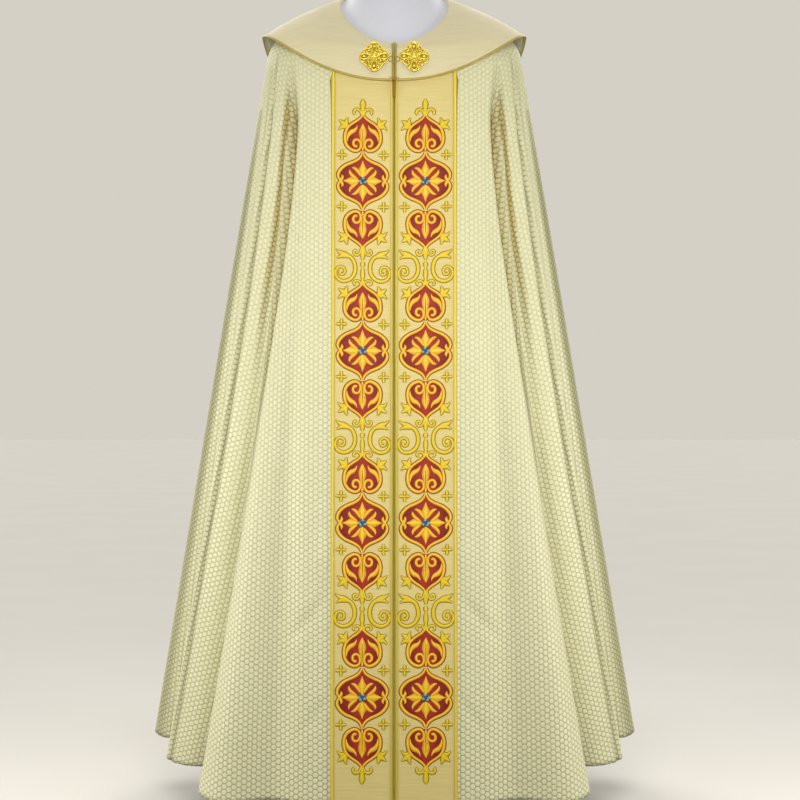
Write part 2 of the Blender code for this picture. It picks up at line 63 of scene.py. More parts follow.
def add_node(tree, kind, settings=None, inputs=None):
    """Add a node, set its own settings, and set or link its inputs by name or number."""
    node = tree.nodes.new(kind)
    for name, value in (settings or {}).items():
        setattr(node, name, value)
    for name, value in (inputs or {}).items():
        if isinstance(value, bpy.types.NodeSocket):
            tree.links.new(value, node.inputs[name])
        else:
            node.inputs[name].default_value = value
    return node


def new_finish(name, shader_values):
    """A material with one Principled BSDF, and its node tree and shader."""
    material = bpy.data.materials.new(name)
    material.use_nodes = True
    tree = material.node_tree
    shader = tree.nodes["Principled BSDF"]
    for socket, value in shader_values.items():
        shader.inputs[socket].default_value = value
    return material, tree, shader


camera_data = bpy.data.cameras.new("photo_camera")
camera_data.sensor_width = 36.0
camera_data.lens = 72.95
camera = bpy.data.objects.new("photo_camera", camera_data)
camera.location = (0.0111, -3.2, 0.81)
camera.rotation_euler = (math.pi / 2.0, 0.0, 0.0)
bpy.context.scene.collection.objects.link(camera)
bpy.context.scene.camera = camera
bpy.context.scene.view_settings.view_transform = "Standard"

softboxes = (
    # name, place, aimed at, size, watts
    ("front_softbox", (0.0, -1.85, 1.38), (0.0, 0.0, 1.06), 0.9, 9.9),
    ("left_softbox", (-2.15, -0.85, 0.75), (-0.34, 0.0, 0.50), 0.7, 12.4),
    ("right_softbox", (2.15, -0.85, 0.75), (0.34, 0.0, 0.50), 0.7, 12.4),
)
for name, where, aim, size, watts in softboxes:
    lamp_data = bpy.data.lights.new(name, "AREA")
    lamp_data.shape = "DISK"
    lamp_data.size = size
    lamp_data.spread = math.radians(120.0)
    lamp_data.energy = watts
    lamp = bpy.data.objects.new(name, lamp_data)
    lamp.location = where
    lamp.rotation_euler = (Vector(aim) - lamp.location).to_track_quat("-Z", "Y").to_euler()
    lamp.visible_camera = False
    bpy.context.scene.collection.objects.link(lamp)
far_lights = (
    # name, degrees round from the front to the right, degrees up, softness in degrees, strength
    ("overhead_light", 0.0, 80.0, 60.0, 1.1),
    ("back_left_light", -142.0, 34.0, 40.0, 1.4),
    ("back_right_light", 150.0, 34.0, 40.0, 1.2),
)
for name, around, up, softness, strength in far_lights:
    lamp_data = bpy.data.lights.new(name, "SUN")
    lamp_data.angle = math.radians(softness)
    lamp_data.energy = strength
    lamp = bpy.data.objects.new(name, lamp_data)
    lamp.rotation_euler = (math.radians(90.0 - up), 0.0, math.radians(around))
    bpy.context.scene.collection.objects.link(lamp)

# The studio's far wall looks pale, and it gives less light than it shows
studio = bpy.data.worlds.new("pale_studio")
studio.use_nodes = True
seen_by = add_node(studio.node_tree, "ShaderNodeLightPath")
seen = add_node(studio.node_tree, "ShaderNodeMath", {"operation": "MAXIMUM"}, {
    0: seen_by.outputs["Is Camera Ray"], 1: seen_by.outputs["Is Glossy Ray"]})
wall_shade = add_node(studio.node_tree, "ShaderNodeMapRange", inputs={
    "Value": seen.outputs["Value"], "To Min": 0.08, "To Max": 0.69})
backdrop = studio.node_tree.nodes["Background"]
backdrop.inputs["Color"].default_value = linear("FAF5EA")
studio.node_tree.links.new(wall_shade.outputs["Result"], backdrop.inputs["Strength"])
bpy.context.scene.world = studio

bpy.ops.mesh.primitive_plane_add(size=60.0, location=(0.0, 0.0, 0.0))
floor = bpy.context.object
floor.name = "floor"
# Black flags keep the light that the floor throws back off the cloth
floor.visible_diffuse = False
# Matt painted studio floor, rolled on, faintly mottled
floor_paint, tree, shader = new_finish("matt_painted_floor", {"Roughness": 0.85})
spots = add_node(tree, "ShaderNodeTexNoise", inputs={
    "Vector": add_node(tree, "ShaderNodeTexCoord").outputs["Object"], "Scale": 2.0, "Detail": 6.0})
tint = add_node(tree, "ShaderNodeMix", {"data_type": "RGBA"}, {
    "Factor": spots.outputs["Fac"], 6: linear("D2CCC2"), 7: linear("D8D4CA")})
tree.links.new(tint.outputs[2], shader.inputs["Base Color"])
floor.data.materials.append(floor_paint)


# Stand: the round foot with its hub and the tube that carries the form
# The foot is spun steel, the tube is drawn steel pushed into the hub, both powder coated.
def dress(piece, slot, *nodes):
    """Hang a finished piece on the frame in place of the CAD nodes that it stands for."""
    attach(piece, "root")
    if nodes:
        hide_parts(*nodes)


def apply_modifiers(piece):
    """Apply a piece's modifiers in their order."""
    bpy.ops.object.select_all(action="DESELECT")
    piece.select_set(True)
    bpy.context.view_layer.objects.active = piece
    for modifier in list(piece.modifiers):
        bpy.ops.object.modifier_apply(modifier=modifier.name)


def apply_place(piece):
    """Put a piece's place, turn and size into its mesh, so that its object sits at the origin."""
    bpy.ops.object.select_all(action="DESELECT")
    piece.select_set(True)
    bpy.context.view_layer.objects.active = piece
    bpy.ops.object.transform_apply(location=True, rotation=True, scale=True)


# Powder coat on steel: satin, with the faint orange peel of the cured powder, 2 mm across
powder_coat, tree, shader = new_finish("satin_powder_coat", {
    "Base Color": linear("CBCBCE"), "Roughness": 0.42, "Specular IOR Level": 0.45})
peel = add_node(tree, "ShaderNodeTexNoise", inputs={
    "Vector": add_node(tree, "ShaderNodeTexCoord").outputs["Object"], "Scale": 500.0, "Detail": 2.0})
bump = add_node(tree, "ShaderNodeBump", inputs={
    "Strength": 0.15, "Distance": 0.0002, "Height": peel.outputs["Fac"]})
tree.links.new(bump.outputs["Normal"], shader.inputs["Normal"])

foot_profile = (
    # radius, height: up the outer side and over the top to the hub
    (0.1700, 0.0070),
    (0.1649, 0.0120),
    (0.0935, 0.0180),
    (0.0400, 0.0260),
    (0.0320, 0.0440),
    (0.0272, 0.0500),
)
bpy.ops.mesh.primitive_cylinder_add(
    vertices=128, radius=foot_profile[0][0], depth=foot_profile[0][1],
    location=(0.0, 0.0, foot_profile[0][1] / 2.0))
foot = bpy.context.object
foot.name = "foot_of_stand"
bpy.ops.object.mode_set(mode="EDIT")
bpy.ops.mesh.select_mode(type="FACE")
bpy.ops.mesh.select_all(action="DESELECT")
work = bmesh.from_edit_mesh(foot.data)
for face in work.faces:
    face.select = face.normal.z > 0.9
bmesh.update_edit_mesh(foot.data)
for (wide, low), (narrow, high) in zip(foot_profile, foot_profile[1:]):
    bpy.ops.mesh.extrude_region_move(TRANSFORM_OT_translate={"value": (0.0, 0.0, high - low)})
    bpy.ops.transform.resize(value=(narrow / wide, narrow / wide, 1.0), center_override=(0.0, 0.0, high))
bpy.ops.object.mode_set(mode="OBJECT")
apply_place(foot)
rounding = foot.modifiers.new("rounding", "BEVEL")
rounding.width = 0.0015
rounding.segments = 3
rounding.limit_method = "ANGLE"
rounding.angle_limit = math.radians(12.0)
apply_modifiers(foot)
bpy.ops.object.shade_smooth_by_angle(angle=math.radians(35.0))
foot.data.materials.append(powder_coat)
dress(foot, "stand_metal", "stand_base")

tube_low, tube_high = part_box("stand_pole")
bpy.ops.mesh.primitive_cylinder_add(
    vertices=64, radius=0.016, depth=tube_high.z - tube_low.z,
    location=(0.0, 0.0, (tube_high.z + tube_low.z) / 2.0))
tube = bpy.context.object
tube.name = "tube_of_stand"
apply_place(tube)
rounding = tube.modifiers.new("rounding", "BEVEL")
rounding.width = 0.0008
rounding.segments = 2
rounding.limit_method = "ANGLE"
apply_modifiers(tube)
bpy.ops.object.shade_smooth_by_angle(angle=math.radians(35.0))
tube.data.materials.append(powder_coat)
dress(tube, "stand_metal", "stand_pole")


# Dress form: neck, sloping shoulders and torso with no arms
# A moulded shell with a smooth matt grey-white skin; it shows at the neck and inside the cope.
shoulder_loops = np.array((
    # half_width, front_depth, back_depth, side_z, front_z, back_z, squareness
    (0.1055, 0.1020, 0.0800, 1.584, 1.489, 1.627, 2.0),
    (0.1500, 0.1075, 0.1040, 1.572, 1.480, 1.600, 2.1),
    (0.2120, 0.1130, 0.1220, 1.538, 1.468, 1.560, 2.35),
    (0.2470, 0.1180, 0.1300, 1.487, 1.455, 1.500, 2.6),
))
neck_loops = np.array((
    (0.0560, 0.0600, 0.0560, 1.684, 1.680, 1.686, 2.0),
    (0.0640, 0.0680, 0.0640, 1.676, 1.672, 1.678, 2.0),
    (0.0680, 0.0730, 0.0660, 1.640, 1.624, 1.644, 2.0),
    (0.0850, 0.0860, 0.0700, 1.600, 1.545, 1.633, 2.0),
))
torso_loops = np.array((
    (0.2120, 0.1180, 0.1260, 1.425, 1.405, 1.430, 2.4),
    (0.1780, 0.1190, 0.1140, 1.330, 1.320, 1.335, 2.2),
    (0.1600, 0.1040, 0.1000, 1.220, 1.220, 1.220, 2.2),
    (0.1450, 0.0920, 0.0930, 1.100, 1.100, 1.100, 2.1),
    (0.1720, 0.1040, 0.1120, 0.940, 0.940, 0.940, 2.2),
    (0.1680, 0.1000, 0.1080, 0.868, 0.868, 0.868, 2.2),
    (0.1560, 0.0880, 0.0960, 0.856, 0.856, 0.856, 2.2),
))


def between_rows(rows, places):
    """Smooth curve through the rows of a table, read at places counted in rows."""
    places = np.asarray(places, dtype=float)
    last = len(rows) - 1
    first = np.clip(places.astype(int), 0, last - 1)
    share = (places - first).reshape(places.shape + (1,) * (rows.ndim - 1))
    before = rows[np.maximum(first - 1, 0)]
    start = rows[first]
    end = rows[first + 1]
    after = rows[np.minimum(first + 2, last)]
    slope_start = (end - before) / 2.0
    slope_end = (after - start) / 2.0
    square = share * share
    cube = square * share
    return ((2 * cube - 3 * square + 1) * start + (cube - 2 * square + share) * slope_start
            + (3 * square - 2 * cube) * end + (cube - square) * slope_end)


def loop_points(loops, turns):
    """Points of body loops at turns in radians, 0 at the left side and pi/2 at the back."""
    half_width, front_depth, back_depth, side_z, front_z, back_z, squareness = np.moveaxis(loops, -1, 0)
    cosine = np.cos(turns)
    sine = np.sin(turns)
    power = 2.0 / squareness
    depth = np.where(sine > 0, back_depth, front_depth)
    x = half_width * np.sign(cosine) * np.abs(cosine) ** power
    y = depth * np.sign(sine) * np.abs(sine) ** power
    z = side_z + (back_z - front_z) / 2.0 * sine + ((back_z + front_z) / 2.0 - side_z) * sine * sine
    return np.stack((x, y, z), axis=-1)


form_loops = np.concatenate((neck_loops, shoulder_loops, torso_loops))
form_places = np.linspace(0.0, len(form_loops) - 1.0, 6 * (len(form_loops) - 1) + 1)
form_rows = between_rows(form_loops, form_places)
# Under the cope the form is a little slimmer, clear of the cloth
hidden = np.clip((form_places - len(neck_loops) - 1.0) / 2.0, 0.0, 1.0)
form_rows[:, :3] -= 0.004 * hidden[:, None]
form_rows[:, 3:6] -= 0.003 * hidden[:, None] * (form_places < len(neck_loops) + len(shoulder_loops))[:, None]
form_sides = 160
form_turns = np.arange(form_sides) * 2.0 * math.pi / form_sides
form_points = loop_points(form_rows[:, None, :], form_turns[None, :])
form_build = bmesh.new()
form_rings = [[form_build.verts.new(point) for point in ring] for ring in form_points]
for above, below in zip(form_rings, form_rings[1:]):
    for side in range(form_sides):
        after = (side + 1) % form_sides
        form_build.faces.new((above[side], below[side], below[after], above[after]))
form_build.faces.new(form_rings[0])
form_build.faces.new(form_rings[-1][::-1])
bmesh.ops.recalc_face_normals(form_build, faces=form_build.faces[:])
form_mesh = bpy.data.meshes.new("form_shell")
form_build.to_mesh(form_mesh)
form_build.free()
form = bpy.data.objects.new("form_shell", form_mesh)
bpy.context.scene.collection.objects.link(form)
rounding = form.modifiers.new("rounding", "BEVEL")
rounding.width = 0.003
rounding.segments = 3
rounding.limit_method = "ANGLE"
rounding.angle_limit = math.radians(50.0)
apply_modifiers(form)
bpy.ops.object.shade_smooth_by_angle(angle=math.radians(60.0))

# Moulded matt plastic: cool white, a soft wide highlight and a faint moulding grain, 3 mm
form_skin, tree, shader = new_finish("moulded_matt_plastic", {
    "Base Color": linear("D2D2D8"), "Roughness": 0.55, "Specular IOR Level": 0.4})
grain = add_node(tree, "ShaderNodeTexNoise", inputs={
    "Vector": add_node(tree, "ShaderNodeTexCoord").outputs["Object"], "Scale": 320.0, "Detail": 3.0})
tint = add_node(tree, "ShaderNodeMix", {"data_type": "RGBA"}, {
    "Factor": grain.outputs["Fac"], 6: linear("CECED4"), 7: linear("D8D8DD")})
tree.links.new(tint.outputs[2], shader.inputs["Base Color"])
bump = add_node(tree, "ShaderNodeBump", inputs={
    "Strength": 0.1, "Distance": 0.0002, "Height": grain.outputs["Fac"]})
tree.links.new(bump.outputs["Normal"], shader.inputs["Normal"])
form.data.materials.append(form_skin)
dress(form, "form_cover", "dress_form")


# Body of the cope: gores of cream brocade, sewn together at the bottom of the folds
# Each gore is cut as part of a half circle 1.45 m in radius, lined, and hangs from the
# shoulders in deep folds. The fold lines are those of the CAD part, read more finely.
REST = 0.0009
BODY_WALL = 0.0018
ORPHREY_WIDTH = 0.1168
FRONT_EDGE_X = 0.0006
SLIT_X = 0.0010
HEM_FRONT_Z = 0.068
HEM_BACK_Z = 0.120
HEM_RISE_DEPTH = 0.40

fold_lines = (
    # name, turn in degrees, hem_x, hem_y, bend
    ("front_edge", -90.0, 0.0006, -0.2120, 0.80),
    ("orphrey_middle", -80.0, 0.0590, -0.2150, 0.80),
    ("orphrey_edge", -68.0, 0.1174, -0.2165, 0.80),
    ("panel_flat", -61.0, 0.1700, -0.2150, 0.95),
    ("panel_hollow", -55.0, 0.2360, -0.2030, 1.15),
    ("panel_ridge", -49.5, 0.3140, -0.2150, 1.25),
    ("panel_roll", -46.0, 0.3530, -0.1880, 1.30),
    ("panel_side", -43.5, 0.3670, -0.1450, 1.30),
    ("panel_under", -41.5, 0.3400, -0.0950, 1.30),
    ("valley_one", -39.5, 0.2980, -0.0620, 1.30),
    ("second_rise", -37.0, 0.3300, -0.0260, 1.25),
    ("second_crown", -33.0, 0.4020, -0.0200, 1.15),
    ("second_side", -29.0, 0.4480, 0.0150, 1.06),
    ("second_under", -26.0, 0.4420, 0.0620, 1.04),
    ("valley_two", -22.5, 0.3960, 0.0880, 1.02),
    ("third_rise", -17.0, 0.4200, 0.1280, 1.00),
    ("third_crown", -9.0, 0.4780, 0.1480, 1.00),
    ("third_side", 0.0, 0.4985, 0.1900, 1.00),
    ("third_under", 8.0, 0.4740, 0.2320, 1.00),
    ("valley_three", 16.0, 0.4080, 0.2300, 1.02),
    ("fourth_rise", 23.0, 0.3880, 0.2800, 1.04),
    ("fourth_crown", 30.0, 0.4200, 0.3300, 1.04),
    ("fourth_under", 36.0, 0.3850, 0.3640, 1.04),
    ("valley_four", 43.0, 0.3240, 0.3000, 1.08),
    ("fifth_rise", 48.0, 0.2920, 0.3420, 1.10),
    ("fifth_crown", 54.0, 0.3000, 0.4000, 1.10),
    ("fifth_under", 59.0, 0.2560, 0.4120, 1.10),
    ("valley_five", 65.0, 0.2080, 0.3280, 1.12),
    ("sixth_rise", 70.0, 0.1700, 0.3640, 1.14),
    ("sixth_crown", 75.0, 0.1540, 0.4240, 1.14),
    ("sixth_under", 80.0, 0.1060, 0.4200, 1.14),
    ("valley_six", 84.0, 0.0620, 0.3440, 1.14),
    ("back_centre", 90.0, 0.0, 0.3960, 1.14),
)
fold_names = [line[0] for line in fold_lines]
fold_rows = [[math.radians(turn), x, y, bend] for _, turn, x, y, bend in fold_lines]
fold_rows.append([math.pi - fold_rows[-2][0], -fold_rows[-2][1], fold_rows[-2][2], fold_rows[-2][3]])
fold_rows = np.array(fold_rows)


def shoulder_points(levels, turns):
    """Points of the form's shoulders, level -1 at the neckline and 0 at the shoulder edge."""
    loops = between_rows(form_loops, len(neck_loops) + (levels + 1.0) * (len(shoulder_loops) - 1))
    power = loops[..., 6] / shoulder_loops[-1, 6]
    cosine = np.cos(turns)
    here = np.arccos(np.sign(cosine) * np.minimum(np.abs(cosine) ** power, 1.0))
    return loop_points(loops, np.copysign(here, turns))


def drape_points(lines, levels):
    """Points under the left half of the cope, for each fold line place and each level."""
    turn, hem_x, hem_y, bend = np.moveaxis(between_rows(fold_rows, lines), -1, 0)
    on_orphrey = lines <= 2.0
    hem_x = np.where(on_orphrey, FRONT_EDGE_X + ORPHREY_WIDTH * lines / 2.0, hem_x)
    share_x = np.minimum(hem_x / shoulder_loops[-1, 0], 1.0)
    straight_turn = -np.arccos(np.abs(share_x) ** (shoulder_loops[-1, 6] / 2.0))
    turn = np.where(on_orphrey, straight_turn, turn)
    rise = np.clip((hem_y - fold_rows[0, 2]) / HEM_RISE_DEPTH, 0.0, 1.0)
    hem = np.stack((hem_x, hem_y, HEM_FRONT_Z + (HEM_BACK_Z - HEM_FRONT_Z) * rise), axis=-1)
    levels = np.asarray(levels, dtype=float)
    turns = np.broadcast_to(turn[:, None], (len(lines), len(levels)))
    level_grid = np.broadcast_to(levels[None, :], turns.shape)
    points = shoulder_points(np.minimum(level_grid, 0.0), turns)
    fall = np.maximum(level_grid, 0.0)
    swing = fall ** bend[:, None]
    run = hem[:, None, :] - points
    points = points + run * np.stack((swing, swing, fall), axis=-1) * (level_grid > 0.0)[..., None]
    # The collar holds the front edges a little apart at the top
    held = np.clip((0.08 - level_grid) / 0.05, 0.0, 1.0)
    near = np.clip((1.0 - lines) / 0.9, 0.0, 1.0)[:, None]
    points[..., 0] += held * near * (SLIT_X - FRONT_EDGE_X)
    return points


def grid_normals(points):
    """Outward normals of a grid of points, from its neighbours along both ways."""
    across = np.gradient(points, axis=0)
    down = np.gradient(points, axis=1)
    normals = np.cross(down, across)
    return normals / np.linalg.norm(normals, axis=2, keepdims=True)


def lay_flat(points, top):
    """Develop a grid into the flat cut: strip by strip, each column kept straight."""
    lengths = np.linalg.norm(np.diff(points, axis=1), axis=2)
    along = np.concatenate((np.zeros((len(points), 1)), np.cumsum(lengths, axis=1)), axis=1)
    along -= along[:, top:top + 1]
    upper = np.array((0.0, 0.0))
    lower = np.array((0.0, -along[0, -1]))
    flat = [upper + (lower - upper) * (along[0] / along[0, -1])[:, None]]
    for before, here, run in zip(points[:-1], points[1:], along[1:]):
        edge = lower - upper
        length = np.linalg.norm(edge)
        down = edge / length
        side = np.array((-down[1], down[0]))
        from_upper = np.linalg.norm(here[top] - before[top])
        from_lower = np.linalg.norm(here[top] - before[-1])
        drop = (length ** 2 + from_upper ** 2 - from_lower ** 2) / (2.0 * length)
        reach = math.sqrt(max(from_upper ** 2 - drop ** 2, 1e-12))
        new_upper = upper + down * drop + side * reach
        to_lower = lower - new_upper
        gap = np.linalg.norm(to_lower)
        hem_step = np.linalg.norm(here[-1] - before[-1])
        drop = (gap ** 2 + run[-1] ** 2 - hem_step ** 2) / (2.0 * gap)
        reach = math.sqrt(max(run[-1] ** 2 - drop ** 2, 1e-12))
        down = to_lower / gap
        side = np.array((-down[1], down[0]))
        upper = new_upper
        lower = new_upper + down * drop + side * reach
        flat.append(upper + (lower - upper) * (run / run[-1])[:, None])
    return np.array(flat)


def sheet_from_grid(name, points, flat, attributes=None):
    """A smooth open sheet of quads on a grid, with the flat cut in metres as its UV map."""
    columns, rows = points.shape[:2]
    corner = np.arange(columns * rows).reshape(columns, rows)
    quads = np.stack((corner[:-1, :-1], corner[:-1, 1:], corner[1:, 1:], corner[1:, :-1]), axis=-1)
    mesh = bpy.data.meshes.new(name)
    mesh.from_pydata(points.reshape(-1, 3).tolist(), [], quads.reshape(-1, 4).tolist())
    uv = mesh.uv_layers.new(name="flat_cut")
    uv.data.foreach_set("uv", flat.reshape(-1, 2)[quads.reshape(-1)].ravel())
    for title, values in (attributes or {}).items():
        store = mesh.attributes.new(title, "FLOAT", "POINT")
        store.data.foreach_set("value", values.ravel())
    mesh.shade_smooth()
    piece = bpy.data.objects.new(name, mesh)
    bpy.context.scene.collection.objects.link(piece)
    return piece


def thicken(piece, wall):
    """Give a sheet its cloth wall on the inner side, where the second material goes."""
    solidify = piece.modifiers.new("wall", "SOLIDIFY")
    solidify.thickness = wall
    solidify.offset = -1.0
    solidify.material_offset = 1
    apply_modifiers(piece)


hem_spacing = 0.008
fine_lines = []
coarse_hem = drape_points(np.arange(len(fold_lines), dtype=float), (1.0,))[:, 0]
for index, step in enumerate(np.linalg.norm(np.diff(coarse_hem, axis=0), axis=1)):
    count = max(4, math.ceil(step * 1.05 / hem_spacing))
    fine_lines += [index + part / count for part in range(count)]
fine_lines = np.array(fine_lines + [len(fold_lines) - 1.0])
fine_levels = np.concatenate((np.linspace(-1.0, 0.0, 15)[:-1], np.linspace(0.0, 1.0, 155)))
top_row = 14
past_centre = 2.0 * fine_lines[-1] - fine_lines[-2]
drape = drape_points(np.append(fine_lines, past_centre), fine_levels)
# The cloth rounds over the shoulder's edge, so the rows there are smoothed six times
for smoothing in range(6):
    rounded = drape[:, top_row - 4:top_row + 7]
    drape[:, top_row - 3:top_row + 6] = (rounded[:, :-2] + 2.0 * rounded[:, 1:-1] + rounded[:, 2:]) / 4.0
spread = lay_flat(drape, top_row)

# Folds and creases in each half: rounded troughs, or ridges where the height is above zero.
# Those of the front are placed as the photograph shows them, the hidden ones are like them.
# The last column is the shade painted into the cloth's colour there: 0 is as bright as the flat cloth.
creases = (
    # name, (fold line place, level, half width, height in metres, painted shade), ...
    ("front_fold", ((7.6, 0.00, 0.010, -0.001, 0.0), (7.0, 0.04, 0.018, -0.007, 0.3),
                    (6.5, 0.10, 0.028, -0.025, 1.0), (6.4, 0.22, 0.031, -0.030, 1.0),
                    (6.6, 0.36, 0.029, -0.018, 1.0), (6.8, 0.50, 0.029, -0.008, 0.9),
                    (7.0, 0.70, 0.032, -0.006, 0.6), (7.2, 1.0, 0.036, -0.006, 0.6))),
    ("fold_flank", ((9.2, 0.04, 0.006, 0.0, 0.2), (9.5, 0.10, 0.009, -0.002, 0.9),
                    (9.8, 0.20, 0.011, -0.002, 1.0), (10.3, 0.33, 0.012, -0.002, 0.8),
                    (10.4, 0.46, 0.012, -0.001, 0.25), (10.5, 0.60, 0.012, -0.001, 0.3),
                    (10.6, 0.80, 0.012, -0.001, 0.0))),
    ("second_fold", ((12.6, 0.00, 0.006, -0.001, 0.2), (12.0, 0.06, 0.007, -0.005, 0.6),
                     (11.7, 0.14, 0.007, -0.006, 0.8), (11.6, 0.30, 0.008, -0.006, 0.8),
                     (11.65, 0.45, 0.009, -0.006, 0.9), (11.7, 0.60, 0.010, -0.006, 0.9),
                     (11.8, 0.73, 0.011, -0.006, 0.9), (11.8, 0.86, 0.012, -0.006, 0.8),
                     (11.8, 1.0, 0.012, -0.005, 0.7))),
    ("hidden_fold", ((14.0, 0.02, 0.007, -0.001, 0.2), (14.0, 0.15, 0.010, -0.008, 0.6),
                     (14.0, 0.60, 0.012, -0.009, 0.6), (14.0, 1.0, 0.014, -0.008, 0.5))),
    ("outer_dip", ((15.6, 0.08, 0.012, -0.001, 0.5), (16.0, 0.20, 0.019, -0.002, 1.0),
                   (16.3, 0.45, 0.025, -0.002, 1.0), (16.4, 0.80, 0.028, -0.002, 0.9),
                   (16.4, 1.0, 0.030, -0.002, 0.8))),
    ("shoulder_dip", ((12.5, 0.00, 0.050, -0.001, 0.1), (12.5, 0.05, 0.045, -0.001, 0.1),
                      (12.5, 0.11, 0.030, -0.001, 0.0))),
    ("panel_hollow", ((4.1, 0.42, 0.020, -0.001, 0.0), (4.05, 0.60, 0.038, -0.003, 0.0),
                      (3.9, 0.80, 0.056, -0.005, 0.0), (3.8, 1.0, 0.066, -0.007, 0.0))),
    ("panel_pull", ((2.15, 0.725, 0.010, -0.001, 0.0), (2.8, 0.752, 0.014, -0.003, 0.1),
                    (3.5, 0.785, 0.013, -0.001, 0.0))),
    ("low_pull", ((2.15, 0.860, 0.009, -0.001, 0.0), (2.6, 0.885, 0.013, -0.0025, 0.1),
                  (3.2, 0.915, 0.012, -0.001, 0.0))),
    ("edge_swell", ((2.45, 0.64, 0.012, 0.001, 0.0), (2.4, 0.675, 0.020, 0.003, 0.0),
                    (2.5, 0.71, 0.012, 0.001, 0.0))),
    ("third_fold", ((19.0, 0.0, 0.008, -0.004, 0.2), (19.0, 0.12, 0.013, -0.010, 0.7),
                    (19.0, 0.40, 0.016, -0.012, 0.8), (19.0, 1.0, 0.016, -0.009, 0.6))),
    ("fourth_fold", ((23.0, 0.0, 0.008, -0.004, 0.2), (23.0, 0.15, 0.013, -0.009, 0.6),
                     (23.0, 0.50, 0.015, -0.010, 0.7), (23.0, 1.0, 0.015, -0.008, 0.5))),
    ("fifth_fold", ((27.0, 0.0, 0.008, -0.004, 0.2), (27.0, 0.10, 0.012, -0.010, 0.7),
                    (27.0, 0.55, 0.016, -0.009, 0.7), (27.0, 1.0, 0.014, -0.007, 0.5))),
    ("sixth_fold", ((31.0, 0.0, 0.007, -0.003, 0.2), (31.0, 0.18, 0.012, -0.008, 0.6),
                    (31.0, 0.60, 0.014, -0.008, 0.6), (31.0, 1.0, 0.014, -0.006, 0.5))),
)


def read_grid(grid, column, row):
    """Values of a grid between its points, at places counted in columns and rows."""
    column_at = np.minimum(column.astype(int), grid.shape[0] - 2)
    row_at = np.minimum(row.astype(int), grid.shape[1] - 2)
    over = (column - column_at)[:, None]
    down = (row - row_at)[:, None]
    upper = grid[column_at, row_at] * (1.0 - over) + grid[column_at + 1, row_at] * over
    lower = grid[column_at, row_at + 1] * (1.0 - over) + grid[column_at + 1, row_at + 1] * over
    return upper * (1.0 - down) + lower * down


def crease_relief(stations):
    """Height and painted shade of one crease over the grid, by the distance to it in the flat cloth."""
    run = between_rows(np.array(stations), np.linspace(0.0, len(stations) - 1.0, 5 * (len(stations) - 1) + 1))
    line = read_grid(spread, np.interp(run[:, 0], fine_lines, np.arange(len(fine_lines))),
                     np.interp(run[:, 1], fine_levels, np.arange(len(fine_levels))))
    nearest = np.full(spread.shape[:2], np.inf)
    relief = np.zeros(spread.shape[:2])
    painted_shade = np.zeros(spread.shape[:2])
    for start, end, first_row, last_row in zip(line[:-1], line[1:], run[:-1, 2:], run[1:, 2:]):
        along = end - start
        share = np.clip((spread - start) @ along / (along @ along), 0.0, 1.0)
        half_width, height, painted_shade_here = np.moveaxis(first_row + (last_row - first_row) * share[..., None], -1, 0)
        away = np.linalg.norm(spread - start - along * share[..., None], axis=2) / half_width
        relief = np.where(away < nearest, height, relief)
        painted_shade = np.where(away < nearest, painted_shade_here, painted_shade)
        nearest = np.minimum(away, nearest)
    ends = np.minimum(nearest, 1.0)
    return np.stack((relief * (1.0 - ends * ends) ** 2, painted_shade * (1.0 - ends * ends)))


crease_maps = {name: crease_relief(stations)[:, :-1] for name, stations in creases}
# Painted shade: the creases' shade is summed into a map that darkens the brocade's colour in the folds
all_relief, painted_fold_shade_map = sum(crease_maps.values())
# Painted shade: the front fold and its flank, where the painted shade is tinted warmer gold
gold_shows = np.clip(crease_maps["front_fold"][1] + crease_maps["fold_flank"][1], 0.0, 1.0)
drape_normals = grid_normals(drape)[:-1]
drape = drape[:-1]
uncreased = drape + drape_normals * (REST + BODY_WALL)
off_band = np.clip((fine_lines - 2.0) / 0.3, 0.0, 1.0)
drape += drape_normals * (all_relief * off_band[:, None])[..., None]
mirrored_next = drape[-2:-1] * np.array((-1.0, 1.0, 1.0))
drape_normals = grid_normals(np.concatenate((drape, mirrored_next)))[:-1]
painted_fold_shade_map = np.clip(painted_fold_shade_map, 0.0, 1.0) * off_band[:, None]

# Satin brocade, woven: a pale satin ground in six-sided cells 10.4 mm apart, each cell
# padded a little and its outline sunk and duller, with the sheen of rayon satin
brocade, tree, shader = new_finish("honeycomb_satin_brocade", {
    "Roughness": 0.5, "Specular IOR Level": 0.35, "Sheen Weight": 0.12, "Sheen Roughness": 0.4})
flat_uv = add_node(tree, "ShaderNodeUVMap", {"uv_map": "flat_cut"})
cell_height = 0.0104
cell_period = (cell_height * math.sqrt(3.0), cell_height, 1.0)
distances = []
for shift in ((0.0, 0.0, 0.0), (cell_period[0] / 2.0, cell_period[1] / 2.0, 0.0)):
    # Whole periods are added, since the remainder is only taken of places above zero
    start = (shift[0] + 500.0 * cell_period[0], shift[1] + 500.0 * cell_period[1], 0.0)
    moved = add_node(tree, "ShaderNodeVectorMath", {"operation": "ADD"}, {
        0: flat_uv.outputs["UV"], 1: start})
    wrapped = add_node(tree, "ShaderNodeVectorMath", {"operation": "MODULO"}, {
        0: moved.outputs["Vector"], 1: cell_period})
    centred = add_node(tree, "ShaderNodeVectorMath", {"operation": "SUBTRACT"}, {
        0: wrapped.outputs["Vector"], 1: (cell_period[0] / 2.0, cell_period[1] / 2.0, 0.0)})
    folded = add_node(tree, "ShaderNodeVectorMath", {"operation": "ABSOLUTE"}, {
        0: centred.outputs["Vector"]})
    slanted = add_node(tree, "ShaderNodeVectorMath", {"operation": "DOT_PRODUCT"}, {
        0: folded.outputs["Vector"], 1: (math.sqrt(3.0) / 2.0, 0.5, 0.0)})
    split = add_node(tree, "ShaderNodeSeparateXYZ", inputs={0: folded.outputs["Vector"]})
    furthest = add_node(tree, "ShaderNodeMath", {"operation": "MAXIMUM"}, {
        0: slanted.outputs["Value"], 1: split.outputs["Y"]})
    distances.append(furthest.outputs["Value"])
